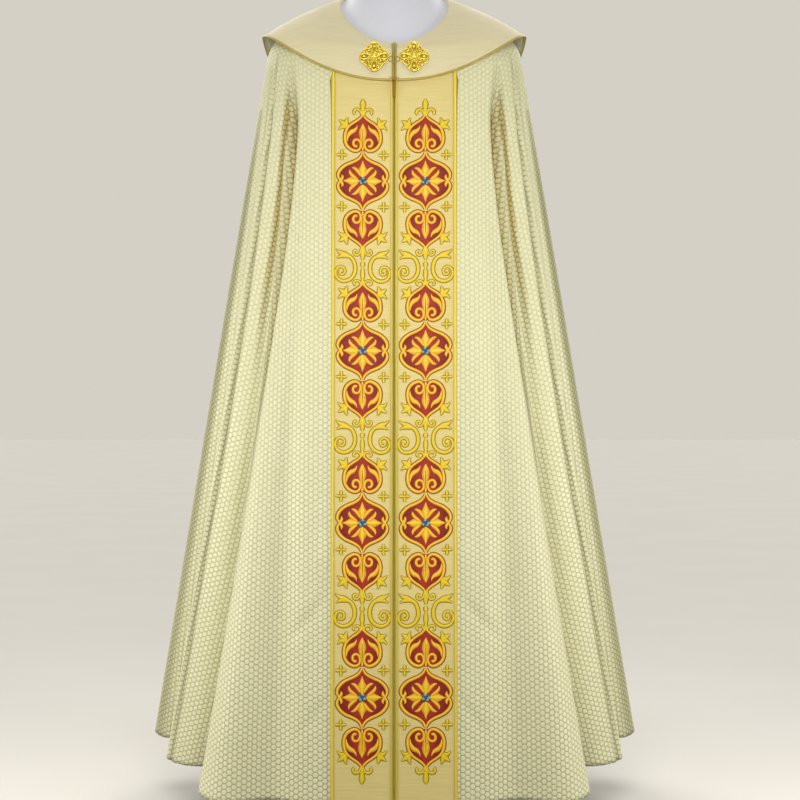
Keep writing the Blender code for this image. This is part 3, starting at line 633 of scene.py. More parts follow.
nearest = add_node(tree, "ShaderNodeMath", {"operation": "MINIMUM"}, {0: distances[0], 1: distances[1]})
cell = add_node(tree, "ShaderNodeMapRange", {"interpolation_type": "SMOOTHSTEP"}, {
    "Value": nearest.outputs["Value"], "From Min": cell_height * 0.30, "From Max": cell_height * 0.49,
    "To Min": 1.0, "To Max": 0.0})
# Warp threads are 0.3 mm apart, drawn 1.2 mm apart so that they show
threads = add_node(tree, "ShaderNodeTexNoise", {"noise_dimensions": "2D"}, {
    "Vector": add_node(tree, "ShaderNodeMapping", inputs={
        "Vector": flat_uv.outputs["UV"], "Scale": (820.0, 60.0, 1.0)}).outputs["Vector"],
    "Scale": 1.0, "Detail": 2.0})
worn = add_node(tree, "ShaderNodeTexNoise", {"noise_dimensions": "2D"}, {
    "Vector": flat_uv.outputs["UV"], "Scale": 9.0, "Detail": 3.0})
light_cell = add_node(tree, "ShaderNodeMix", {"data_type": "RGBA"}, {
    "Factor": worn.outputs["Fac"], 6: linear("E9E5BB"), 7: linear("E2DEB1")})
# Painted shade: the cells' outlines are painted darker towards the hem, where the cloth takes less light
height = add_node(tree, "ShaderNodeSeparateXYZ", inputs={
    0: add_node(tree, "ShaderNodeTexCoord").outputs["Object"]})
outline_light_by_height = add_node(tree, "ShaderNodeMapRange", inputs={
    "Value": height.outputs["Z"], "From Min": 0.10, "From Max": 0.95})
outline = add_node(tree, "ShaderNodeMix", {"data_type": "RGBA"}, {
    "Factor": outline_light_by_height.outputs["Result"], 6: linear("C2BB8C"), 7: linear("DAD6A6")})
painted_fold_shade = add_node(tree, "ShaderNodeAttribute", {"attribute_name": "painted_fold_shade"})
# Painted shade: in the folds the cells' outlines are painted dark grey
fold_shaded_outline = add_node(tree, "ShaderNodeMix", {"data_type": "RGBA"}, {
    "Factor": painted_fold_shade.outputs["Fac"], 6: outline.outputs[2], 7: linear("A09E7C")})
face_colour = add_node(tree, "ShaderNodeMix", {"data_type": "RGBA"}, {
    "Factor": cell.outputs["Result"], 6: fold_shaded_outline.outputs[2], 7: light_cell.outputs[2]})
# Painted shade: the folds are painted darker, and in the front fold up at the chest the painted shade is
# warmer gold
warm_fold_shade = add_node(tree, "ShaderNodeAttribute", {"attribute_name": "gold_shows"})
chest_height_share = add_node(tree, "ShaderNodeMapRange", inputs={
    "Value": height.outputs["Z"], "From Min": 0.75, "From Max": 1.15})
warm_shade_share = add_node(tree, "ShaderNodeMath", {"operation": "MULTIPLY"}, {
    0: chest_height_share.outputs["Result"], 1: warm_fold_shade.outputs["Fac"]})
fold_shade_colour = add_node(tree, "ShaderNodeMix", {"data_type": "RGBA"}, {
    "Factor": warm_shade_share.outputs["Value"], 6: linear("BDBBA0"), 7: linear("C4AC60")})
cloth_colour = add_node(tree, "ShaderNodeMix", {"data_type": "RGBA", "blend_type": "MULTIPLY"}, {
    "Factor": painted_fold_shade.outputs["Fac"], 6: face_colour.outputs[2], 7: fold_shade_colour.outputs[2]})
thread_shade = add_node(tree, "ShaderNodeMapRange", inputs={
    "Value": threads.outputs["Fac"], "From Min": 0.25, "From Max": 0.75, "To Min": 0.93, "To Max": 1.05})
shaded = add_node(tree, "ShaderNodeVectorMath", {"operation": "SCALE"}, {
    0: cloth_colour.outputs[2], "Scale": thread_shade.outputs["Result"]})
tree.links.new(shaded.outputs["Vector"], shader.inputs["Base Color"])
gloss = add_node(tree, "ShaderNodeMapRange", inputs={
    "Value": cell.outputs["Result"], "To Min": 0.72, "To Max": 0.42})
tree.links.new(gloss.outputs["Result"], shader.inputs["Roughness"])
relief = add_node(tree, "ShaderNodeMath", {"operation": "MULTIPLY_ADD"}, {
    0: threads.outputs["Fac"], 1: 0.25, 2: cell.outputs["Result"]})
bump = add_node(tree, "ShaderNodeBump", inputs={
    "Strength": 1.0, "Distance": 0.0009, "Height": relief.outputs["Value"]})
tree.links.new(bump.outputs["Normal"], shader.inputs["Normal"])

# Inner side: plain cotton lining, woven in twill, cream and matt; ribs drawn 2 mm apart
inner_cotton, tree, shader = new_finish("cream_twill_lining", {
    "Roughness": 0.85, "Specular IOR Level": 0.2, "Sheen Weight": 0.2})
twill = add_node(tree, "ShaderNodeTexWave", {"wave_type": "BANDS", "bands_direction": "DIAGONAL"}, {
    "Vector": add_node(tree, "ShaderNodeUVMap", {"uv_map": "flat_cut"}).outputs["UV"],
    "Scale": 160.0, "Distortion": 0.4, "Detail": 2.0})
tint = add_node(tree, "ShaderNodeMix", {"data_type": "RGBA"}, {
    "Factor": twill.outputs["Fac"], 6: linear("CFC8A4"), 7: linear("DDD7B8")})
tree.links.new(tint.outputs[2], shader.inputs["Base Color"])
bump = add_node(tree, "ShaderNodeBump", inputs={
    "Strength": 0.3, "Distance": 0.0003, "Height": twill.outputs["Fac"]})
tree.links.new(bump.outputs["Normal"], shader.inputs["Normal"])



def along_the_warp(cut, grain):
    """Turn a flat cut until its grain line runs straight down from the shoulder."""
    lean = math.atan2(grain[-1, 0] - grain[top_row, 0], grain[top_row, 1] - grain[-1, 1])
    return cut @ np.array(((math.cos(lean), -math.sin(lean)), (math.sin(lean), math.cos(lean))))


mirror = np.array((-1.0, 1.0, 1.0))
mirror_flat = np.array((-1.0, 1.0))
gore_ends = (
    # name, first and last fold line, node
    ("front_gore", "front_edge", "valley_one"),
    ("side_gore", "valley_one", "valley_three"),
    ("back_side_gore", "valley_three", "valley_five"),
)
gores = {}
for name, start, end in gore_ends:
    first = int(np.argmin(np.abs(fine_lines - fold_names.index(start))))
    last = int(np.argmin(np.abs(fine_lines - fold_names.index(end))))
    span = slice(first, last + 1)
    outer = drape[span] + drape_normals[span] * (REST + BODY_WALL)
    cut = lay_flat(uncreased[span], top_row)
    cut = along_the_warp(cut, cut[0] if name == "front_gore" else cut[len(cut) // 2])
    shading = {"painted_fold_shade": painted_fold_shade_map[span], "gold_shows": gold_shows[span]}
    for side in ("left", "right"):
        if side == "left":
            piece = sheet_from_grid(f"brocade_{name}_{side}", outer, cut, shading)
        else:
            piece = sheet_from_grid(f"brocade_{name}_{side}", outer[::-1] * mirror, cut[::-1] * mirror_flat,
                                    {title: shade[::-1] for title, shade in shading.items()})
        piece.data.materials.append(brocade)
        piece.data.materials.append(inner_cotton)
        thicken(piece, BODY_WALL)
        dress(piece, "brocade", f"{name}_{side}")
        gores[f"{name}_{side}"] = (piece, cut)

first = int(np.argmin(np.abs(fine_lines - fold_names.index("valley_five"))))
half = drape[first:] + drape_normals[first:] * (REST + BODY_WALL)
outer = np.concatenate((half, half[::-1][1:] * mirror))
cut = lay_flat(np.concatenate((uncreased[first:], uncreased[first:][::-1][1:] * mirror)), top_row)
cut = along_the_warp(cut, cut[len(cut) // 2])
piece = sheet_from_grid("brocade_back_gore", outer, cut)
piece.data.materials.append(brocade)
piece.data.materials.append(inner_cotton)
thicken(piece, BODY_WALL)
dress(piece, "brocade", "back_gore")
gores["back_gore"] = (piece, cut)

for piece, cut in gores.values():
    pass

# Orphreys: the two straight bands down the front edges, each with a flat braid on both edges
# The bands are ribbed silk laid on the brocade and caught under the braids, which are woven
# gold galloon stitched down along both of their edges.
GAP = 0.0003
ORPHREY_WALL = 0.0012
BRAID_WALL = 0.0010
BRAID_WIDTH = 0.0062
orphrey_top = REST + BODY_WALL + GAP + ORPHREY_WALL
braid_span = 2.0 * BRAID_WIDTH / ORPHREY_WIDTH
band_lines = np.concatenate((np.linspace(0.0, braid_span, 9)[:-1],
                             np.linspace(braid_span, 2.0 - braid_span, 25)[:-1],
                             np.linspace(2.0 - braid_span, 2.0, 9)))
band_levels = np.linspace(0.0, 1.0, 401)
past_edge = np.append(band_lines, 2.0 + band_lines[-1] - band_lines[-2])
band = drape_points(past_edge, band_levels)
band_normals = grid_normals(band)[:-1]
band = band[:-1]
band_down = np.concatenate(((0.0,), np.cumsum(np.linalg.norm(np.diff(band[16], axis=0), axis=1))))

# Ribbed silk, woven with a thick weft: ribs 0.7 mm apart, drawn 2.4 mm apart so that they
# show, with a low sheen and slubs that run across the band
ribbed_silk, tree, shader = new_finish("ribbed_silk", {
    "Roughness": 0.55, "Specular IOR Level": 0.35, "Sheen Weight": 0.1})
flat_uv = add_node(tree, "ShaderNodeUVMap", {"uv_map": "flat_cut"}).outputs["UV"]
ribs = add_node(tree, "ShaderNodeTexWave", {"wave_type": "BANDS", "bands_direction": "Y"}, {
    "Vector": flat_uv, "Scale": 130.0, "Distortion": 0.3, "Detail": 1.0})
slubs = add_node(tree, "ShaderNodeTexNoise", {"noise_dimensions": "2D"}, {
    "Vector": add_node(tree, "ShaderNodeMapping", inputs={
        "Vector": flat_uv, "Scale": (18.0, 520.0, 1.0)}).outputs["Vector"],
    "Scale": 1.0, "Detail": 2.0})
cloudy = add_node(tree, "ShaderNodeTexNoise", {"noise_dimensions": "2D"}, {
    "Vector": flat_uv, "Scale": 6.0, "Detail": 2.0})
ground = add_node(tree, "ShaderNodeMix", {"data_type": "RGBA"}, {
    "Factor": cloudy.outputs["Fac"], 6: linear("D8C378"), 7: linear("DECC84")})
streak = add_node(tree, "ShaderNodeMapRange", inputs={
    "Value": slubs.outputs["Fac"], "From Min": 0.3, "From Max": 0.7, "To Min": 0.93, "To Max": 1.04})
shaded = add_node(tree, "ShaderNodeVectorMath", {"operation": "SCALE"}, {
    0: ground.outputs[2], "Scale": streak.outputs["Result"]})
tree.links.new(shaded.outputs["Vector"], shader.inputs["Base Color"])
bump = add_node(tree, "ShaderNodeBump", inputs={
    "Strength": 0.35, "Distance": 0.0004, "Height": ribs.outputs["Fac"]})
tree.links.new(bump.outputs["Normal"], shader.inputs["Normal"])

# Galloon braid, woven of gilt thread: a bright rib of chevrons 3 mm long, edges a bit darker
gold_galloon, tree, shader = new_finish("woven_gold_galloon", {
    "Roughness": 0.4, "Metallic": 0.25, "Specular IOR Level": 0.5})
braid_uv = add_node(tree, "ShaderNodeUVMap", {"uv_map": "flat_cut"}).outputs["UV"]
split = add_node(tree, "ShaderNodeSeparateXYZ", inputs={0: braid_uv})
from_middle = add_node(tree, "ShaderNodeMath", {"operation": "ABSOLUTE"}, {0: split.outputs["X"]})
slant = add_node(tree, "ShaderNodeMath", {"operation": "ADD"}, {
    0: from_middle.outputs["Value"], 1: split.outputs["Y"]})
chevron = add_node(tree, "ShaderNodeMath", {"operation": "SINE"}, {
    0: add_node(tree, "ShaderNodeMath", {"operation": "MULTIPLY"}, {
        0: slant.outputs["Value"], 1: 2.0 * math.pi / 0.003}).outputs["Value"]})
edge_shade = add_node(tree, "ShaderNodeMapRange", {"interpolation_type": "SMOOTHSTEP"}, {
    "Value": from_middle.outputs["Value"], "From Min": BRAID_WIDTH * 0.28, "From Max": BRAID_WIDTH * 0.5,
    "To Min": 1.0, "To Max": 0.0})
gold_tone = add_node(tree, "ShaderNodeMix", {"data_type": "RGBA"}, {
    "Factor": edge_shade.outputs["Result"], 6: linear("A08723"), 7: linear("DAC03C")})
# Painted shade: where the two fronts meet, the braid is painted olive for the shade in the slit
place = add_node(tree, "ShaderNodeSeparateXYZ", inputs={
    0: add_node(tree, "ShaderNodeTexCoord").outputs["Object"]})
from_slit = add_node(tree, "ShaderNodeMath", {"operation": "ABSOLUTE"}, {0: place.outputs["X"]})
slit_shade = add_node(tree, "ShaderNodeMapRange", {"interpolation_type": "SMOOTHSTEP"}, {
    "Value": from_slit.outputs["Value"], "From Min": 0.0022, "From Max": 0.0062})
braid_tone = add_node(tree, "ShaderNodeMix", {"data_type": "RGBA"}, {
    "Factor": slit_shade.outputs["Result"], 6: linear("9C8A2A"), 7: gold_tone.outputs[2]})
tree.links.new(braid_tone.outputs[2], shader.inputs["Base Color"])
bump = add_node(tree, "ShaderNodeBump", inputs={
    "Strength": 0.5, "Distance": 0.0003, "Height": chevron.outputs["Value"]})
tree.links.new(bump.outputs["Normal"], shader.inputs["Normal"])

band_width_across = (band_lines / 2.0) * ORPHREY_WIDTH
band_pieces = (
    # name, columns, offset, wall, crown, finish, slot
    ("orphrey", slice(0, len(band_lines)), orphrey_top, ORPHREY_WALL, 0.0, ribbed_silk, "orphrey_cloth"),
    ("braid_front", slice(0, 9), orphrey_top + GAP + 0.6 * BRAID_WALL, 0.6 * BRAID_WALL,
     0.4 * BRAID_WALL, gold_galloon, "gold_braid"),
    ("braid_outer", slice(len(band_lines) - 9, len(band_lines)), orphrey_top + GAP + 0.6 * BRAID_WALL,
     0.6 * BRAID_WALL, 0.4 * BRAID_WALL, gold_galloon, "gold_braid"),
)
for name, columns, offset, wall, crown, finish, slot in band_pieces:
    run = band_width_across[columns] - band_width_across[columns].mean()
    hump = crown * np.sqrt(np.maximum(1.0 - (run / (run.max() * 1.02)) ** 2, 0.0))
    outer = band[columns] + band_normals[columns] * (offset + hump)[:, None, None]
    flat = np.stack(np.broadcast_arrays(run[:, None], -band_down[None, :]), axis=-1)
    for side in ("left", "right"):
        title = f"{finish.name}_{name}_{side}"
        if side == "left":
            piece = sheet_from_grid(title, outer, flat)
        else:
            piece = sheet_from_grid(title, outer[::-1] * mirror, flat[::-1] * mirror_flat)
        piece.data.materials.append(finish)
        piece.data.materials.append(finish)
        thicken(piece, wall)
        dress(piece, slot, f"{name}_{side}")


# Embroidery on the orphreys: four units of traditional church ornament down each band
# Padded satin stitch in gold on red grounds, each shape worked inside a couched outline cord,
# with a cluster of blue knots in the middle of each rosette.
# The strokes of the right-hand half, in millimetres from the middle of a unit, upwards.
# A stroke is a run of satin stitch; half its width goes with each point.
unit_strokes = (
    # name, thread, copies, (across, up, half width), ...
    ("heart_outline", "framed", "four", (
        (1.1, 126.1, 2.2), (3.7, 122.4, 3.2), (9.3, 117.1, 3.5), (16.8, 112.1, 3.7), (23.5, 107.2, 3.7),
        (29.1, 100.9, 3.9), (32.5, 92.5, 4.1), (33.6, 82.2, 4.3), (32.1, 72.5, 4.5), (27.3, 64.6, 4.7),
        (20.2, 59.6, 4.7), (13.1, 57.7, 4.3), (7.3, 60.1, 3.9), (4.1, 65.8, 3.5), (4.3, 72.9, 3.5),
        (7.7, 78.3, 3.7), (13.1, 79.4, 3.9), (17.2, 75.8, 4.1), (17.4, 69.9, 4.1), (13.8, 66.3, 3.9),
        (10.5, 67.6, 3.5))),
    ("side_petal", "framed", "four", (
        (10.5, 106.8, 0.6), (12.0, 101.6, 3.0), (16.4, 96.9, 6.0), (22.0, 94.0, 7.1), (26.5, 88.5, 5.6),
        (28.8, 81.4, 3.0), (28.8, 75.1, 0.7))),
    ("centre_petal", "framed", "above_below", (
        (0.0, 57.9, 2.6), (0.0, 67.2, 4.1), (0.0, 76.6, 6.7), (0.0, 85.9, 10.1), (0.0, 93.4, 11.6),
        (0.0, 99.9, 9.3), (0.0, 105.5, 4.9), (0.0, 109.8, 0.6))),
    ("centre_rib", "line", "above_below", ((0.0, 64.0, 0.7), (0.0, 80.0, 1.2), (0.0, 100.0, 0.6))),
    ("ogee_outline", "framed", "four", (
        (0.9, 54.2, 2.2), (3.0, 48.6, 3.2), (7.3, 42.8, 3.7), (14.8, 37.9, 4.1), (23.0, 34.2, 4.3),
        (31.4, 30.3, 4.3), (38.7, 24.7, 4.5), (43.9, 17.9, 4.5), (46.1, 10.8, 4.1), (44.8, 4.5, 3.4),
        (41.5, 0.0, 2.6))),
    ("notch_curl", "framed", "four", (
        (41.8, 0.7, 4.9), (39.0, 4.1, 4.5), (37.9, 7.8, 3.7), (39.0, 11.6, 0.9))),
    ("upright_petal", "framed", "above_below", (
        (0.0, 6.7, 5.2), (0.0, 12.1, 7.5), (0.0, 18.7, 12.0), (0.0, 23.5, 11.6), (0.0, 28.4, 7.5),
        (0.0, 33.6, 3.7), (0.0, 38.9, 0.6))),
    ("upright_hook", "framed", "four", (
        (3.5, 9.7, 2.6), (7.3, 16.1, 4.7), (11.8, 21.7, 5.0), (16.6, 24.8, 3.5), (20.5, 25.2, 0.7))),
    ("level_petal", "framed", "beside", (
        (6.7, 0.0, 5.2), (12.1, 0.0, 7.8), (18.7, 0.0, 12.3), (23.5, 0.0, 11.6), (28.4, 0.0, 7.1),
        (32.9, 0.0, 3.4), (37.0, 0.0, 0.6))),
    ("level_hook", "framed", "four", (
        (9.7, 3.5, 2.6), (15.7, 7.5, 4.7), (21.1, 12.1, 5.0), (24.1, 17.0, 3.5), (24.1, 21.3, 0.7))),
    ("leaf_upper", "plain", "four", (
        (29.5, 106.5, 4.1), (31.0, 112.8, 6.0), (29.9, 117.7, 3.4), (28.0, 121.8, 0.7))),
    ("leaf_middle", "plain", "four", (
        (29.1, 103.9, 4.9), (35.5, 109.5, 8.6), (40.3, 113.2, 4.9), (45.2, 116.6, 0.7))),
    ("leaf_lower", "plain", "four", (
        (31.8, 102.0, 4.1), (38.1, 103.9, 6.0), (42.2, 101.2, 3.4), (46.0, 96.8, 0.7))),
    ("cross_up", "plain", "four", (
        (39.2, 50.4, 1.9), (39.2, 54.2, 4.1), (39.2, 57.5, 3.7), (39.2, 60.1, 0.9))),
    ("cross_down", "plain", "four", (
        (39.2, 48.6, 1.9), (39.2, 44.8, 4.1), (39.2, 41.5, 3.7), (39.2, 38.9, 0.9))),
    ("cross_out", "plain", "four", (
        (40.2, 49.5, 1.9), (43.9, 49.5, 4.1), (47.1, 49.5, 3.7), (49.5, 49.5, 0.9))),
    ("cross_in", "plain", "four", (
        (38.3, 49.5, 1.9), (34.6, 49.5, 4.1), (31.4, 49.5, 3.7), (29.0, 49.5, 0.9))),
)
between_strokes = (
    # name, thread, copies, (across, up, half width), ...: below each unit but the last
    ("tail_body", "plain", "once", (
        (0.0, -124.2, 3.0), (0.0, -129.8, 7.1), (0.0, -137.3, 7.8), (0.0, -144.8, 5.6), (0.0, -150.4, 2.2))),
    ("tail_curl", "plain", "beside", (
        (1.7, -123.3, 2.6), (3.0, -130.0, 3.0), (5.4, -136.7, 3.4), (9.7, -140.8, 3.4), (14.6, -139.7, 3.4),
        (16.4, -134.9, 3.4), (13.8, -131.9, 3.4), (11.0, -133.7, 2.6))),
    ("bead", "plain", "once", (
        (0.0, -153.2, 2.2), (0.0, -155.8, 6.0), (0.0, -158.4, 6.7), (0.0, -161.0, 6.0), (0.0, -163.6, 2.2))),
    ("baluster", "plain", "once", (
        (0.0, -165.1, 3.0), (0.0, -170.0, 5.6), (0.0, -176.5, 6.7), (0.0, -182.1, 5.6), (0.0, -186.8, 4.1),
        (0.0, -191.5, 6.4), (0.0, -197.1, 8.2))),
    ("crown_curl", "plain", "beside", (
        (1.9, -198.9, 2.6), (4.1, -193.2, 3.4), (8.2, -189.8, 3.4), (13.1, -189.6, 3.4), (16.3, -193.0, 3.5),
        (15.3, -196.7, 3.0), (12.7, -196.5, 2.2))),
    ("scroll_leaf_upper", "plain", "beside", (
        (24.3, -144.6, 4.9), (31.8, -140.5, 7.8), (39.2, -137.9, 7.1), (44.8, -134.9, 3.7),
        (49.7, -130.4, 0.7))),
    ("scroll_leaf_lower", "plain", "beside", (
        (27.1, -143.8, 4.5), (34.6, -142.7, 6.0), (41.1, -143.8, 4.9), (48.2, -147.9, 0.7))),
    ("scroll", "plain", "beside", (
        (26.2, -142.7, 5.2), (19.8, -147.6, 5.4), (15.7, -155.0, 5.6), (13.8, -164.4, 5.6),
        (14.9, -174.5, 5.6), (19.8, -183.4, 5.6), (27.6, -189.0, 5.4), (36.6, -190.5, 5.2),
        (44.8, -187.2, 4.9), (49.7, -180.1, 4.5), (50.1, -171.9, 4.3), (46.3, -165.5, 4.1),
        (40.0, -163.3, 3.9), (34.7, -166.3, 3.9), (33.3, -171.9, 3.7), (35.5, -177.1, 3.7),
        (40.3, -177.8, 3.7), (42.6, -174.5, 4.1), (40.9, -171.7, 4.1))),
)
end_strokes = (
    # name, thread, copies, (across, up, half width), ...: above the first unit, turned over below the last
    ("end_body", "plain", "once", (
        (0.0, 125.2, 3.4), (0.0, 129.6, 7.1), (0.0, 134.1, 6.4), (0.0, 137.5, 3.7))),
    ("end_bud", "plain", "once", (
        (0.0, 136.7, 5.2), (0.0, 142.0, 7.1), (0.0, 147.6, 8.6), (0.0, 153.2, 6.4), (0.0, 158.0, 0.9))),
    ("end_bar", "plain", "once", ((-5.6, 137.1, 1.5), (0.0, 137.1, 2.2), (5.6, 137.1, 1.5))),
    ("end_curl", "plain", "beside", (
        (1.7, 125.9, 2.6), (3.5, 131.5, 3.4), (7.1, 136.4, 3.7), (12.0, 137.9, 4.1), (16.1, 134.9, 4.3),
        (16.4, 130.0, 3.7), (14.2, 127.8, 2.6))),
)
# Red grounds: height above the unit's middle and half the width there
heart_ground = ((56.8, 14.9), (59.0, 20.9), (62.4, 25.4), (67.2, 29.5), (73.8, 32.1), (82.2, 33.3),
                (92.5, 32.1), (99.9, 29.1), (105.5, 24.7), (110.2, 18.7), (114.9, 11.6), (119.6, 6.0),
                (124.2, 1.9))
ogee_ground = ((0.0, 41.8), (4.5, 44.8), (10.8, 46.0), (17.9, 43.7), (24.7, 38.3), (30.3, 31.0),
               (34.2, 22.8), (37.9, 14.6), (42.8, 7.3), (48.6, 2.8), (53.2, 1.1))
copies_of = {
    "once": ((1.0, 1.0),),
    "beside": ((1.0, 1.0), (-1.0, 1.0)),
    "above_below": ((1.0, 1.0), (1.0, -1.0)),
    "four": ((1.0, 1.0), (-1.0, 1.0), (1.0, -1.0), (-1.0, -1.0)),
}
# Each thread lies on the one before it: what it adds to a stroke's width, its share of that
# width, and its height over the silk, in metres
thread_layers = {
    "framed": (("brown_cord", 0.0013, 0.82, 0.00055), ("orange_silk", 0.0, 0.82, 0.00095),
               ("yellow_silk", 0.0, 0.50, 0.00125)),
    "plain": (("olive_cord", 0.0011, 0.68, 0.00050), ("yellow_silk", 0.0, 0.68, 0.00110)),
    "line": (("brown_cord", 0.0, 1.0, 0.00150),),
}
first_unit_down = 0.2345
unit_pitch = 0.3212
section_places = np.array((-1.0, -0.62, 0.0, 0.62, 1.0))
section_heights = np.array((0.0, 0.8, 1.0, 0.8, 0.0))
threads_laid = {title: [] for title in
                ("red_silk", "brown_cord", "olive_cord", "orange_silk", "yellow_silk", "blue_knots")}


def lay_thread(title, grid, along, across, flip, tone=0.0, edge=0.0):
    """Keep a patch of stitches: a grid of (across, down, height), its thread map and its edges."""
    if flip:
        grid, along, across = grid[:, ::-1], along[:, ::-1], across[:, ::-1]
    threads_laid[title].append((grid, along, across, tone, np.broadcast_to(edge, along.shape)))


def work_stroke(stroke, middle_down, turn_over=1.0):
    """Work every copy of a stroke in each of its threads, round a unit's middle."""
    _, thread, copies, points = stroke
    rows = np.array(points) * 0.001
    line = between_rows(rows, np.linspace(0.0, len(rows) - 1.0, 4 * (len(rows) - 1) + 1))
    for across_sign, up_sign in copies_of[copies]:
        sign = up_sign * turn_over
        middle = line[:, :2] * np.array((across_sign, sign))
        run = np.gradient(middle, axis=0)
        run /= np.linalg.norm(run, axis=1, keepdims=True)
        side = np.stack((-run[:, 1], run[:, 0]), axis=1)
        travelled = np.concatenate(((0.0,), np.cumsum(np.linalg.norm(np.diff(middle, axis=0), axis=1))))
        for title, extra, share, height in thread_layers[thread]:
            width = np.maximum(line[:, 2] * share + extra, 0.0003)
            reach = section_places[None, :] * width[:, None]
            flat = middle[:, None, :] + side[:, None, :] * reach[..., None]
            rise = np.broadcast_to(section_heights * height, reach.shape)
            grid = np.stack((flat[..., 0], middle_down - flat[..., 1], rise), axis=-1)
            along = np.broadcast_to(travelled[:, None], reach.shape)
            lay_thread(title, grid, along, reach, False, 1.0 if thread == "plain" else 0.0,
                       np.abs(section_places)[None, :])


def work_ground(rows, middle_down, sign):
    """Fill one red ground with rows of flat stitches."""
    rows = np.array(rows) * 0.001
    line = between_rows(rows, np.linspace(0.0, len(rows) - 1.0, 3 * (len(rows) - 1) + 1))
    places = np.linspace(-1.0, 1.0, 17)
    edge = np.minimum((1.0 - np.abs(places)) * 8.0, 1.0)
    across = line[:, 1:2] * places[None, :]
    down = middle_down - sign * np.broadcast_to(line[:, 0:1], across.shape)
    rise = np.broadcast_to(edge * 0.0005, across.shape)
    grid = np.stack((across, down, rise), axis=-1)
    lay_thread("red_silk", grid, -down, across, sign > 0.0, edge=np.abs(places)[None, :])


for unit in range(4):
    middle_down = first_unit_down + unit * unit_pitch
    for stroke in unit_strokes:
        work_stroke(stroke, middle_down)
    if unit < 3:
        for stroke in between_strokes:
            work_stroke(stroke, middle_down)
    if unit == 0:
        for stroke in end_strokes:
            work_stroke(stroke, middle_down)
    if unit == 3:
        for stroke in end_strokes:
            work_stroke(stroke, middle_down, -1.0)
    for sign in (1.0, -1.0):
        work_ground(heart_ground, middle_down, sign)
        work_ground(ogee_ground, middle_down, sign)
    # The knots: a ring of seven round one, on a dark rim
    rim_turns = np.linspace(0.0, 2.0 * math.pi, 33)
    rim_reach = np.array((0.0090, 0.0080, 0.0060, 0.0001))
    rim_rise = np.array((0.0, 0.0010, 0.0013, 0.0013))
    grid = np.stack((rim_reach[None, :] * np.cos(rim_turns)[:, None],
                     middle_down - rim_reach[None, :] * np.sin(rim_turns)[:, None],
                     np.broadcast_to(rim_rise, (33, 4))), axis=-1)
    lay_thread("brown_cord", grid, np.broadcast_to(rim_turns[:, None] * 0.008, (33, 4)),
               np.broadcast_to(rim_reach, (33, 4)), False)
    knot_turns = np.linspace(0.0, 2.0 * math.pi, 13)
    knot_reach = np.array((0.0024, 0.0021, 0.0012, 0.00005))
    knot_rise = np.array((0.0010, 0.0021, 0.0029, 0.0032))
    knots = [(0.0, 0.0)] + [(0.0050 * math.cos(k * math.tau / 7.0), 0.0050 * math.sin(k * math.tau / 7.0))
                            for k in range(7)]
    for number, (across, up) in enumerate(knots):
        grid = np.stack((across + knot_reach[None, :] * np.cos(knot_turns)[:, None],
                         middle_down - up - knot_reach[None, :] * np.sin(knot_turns)[:, None],
                         np.broadcast_to(knot_rise, (13, 4))), axis=-1)
        lay_thread("blue_knots", grid, np.broadcast_to(knot_turns[:, None] * 0.002, (13, 4)),
                   np.broadcast_to(knot_reach, (13, 4)), False, float(number % 2))


def on_orphrey(across, down, rise):
    """Points over the left orphrey: metres from its middle, below its top and off the silk."""
    column = np.interp(across + ORPHREY_WIDTH / 2.0, band_width_across, np.arange(len(band_lines)))
    row = np.interp(down, band_down, np.arange(len(band_down)))
    normal = read_grid(band_normals, column, row)
    return read_grid(band, column, row) + normal * (orphrey_top + rise)[:, None]


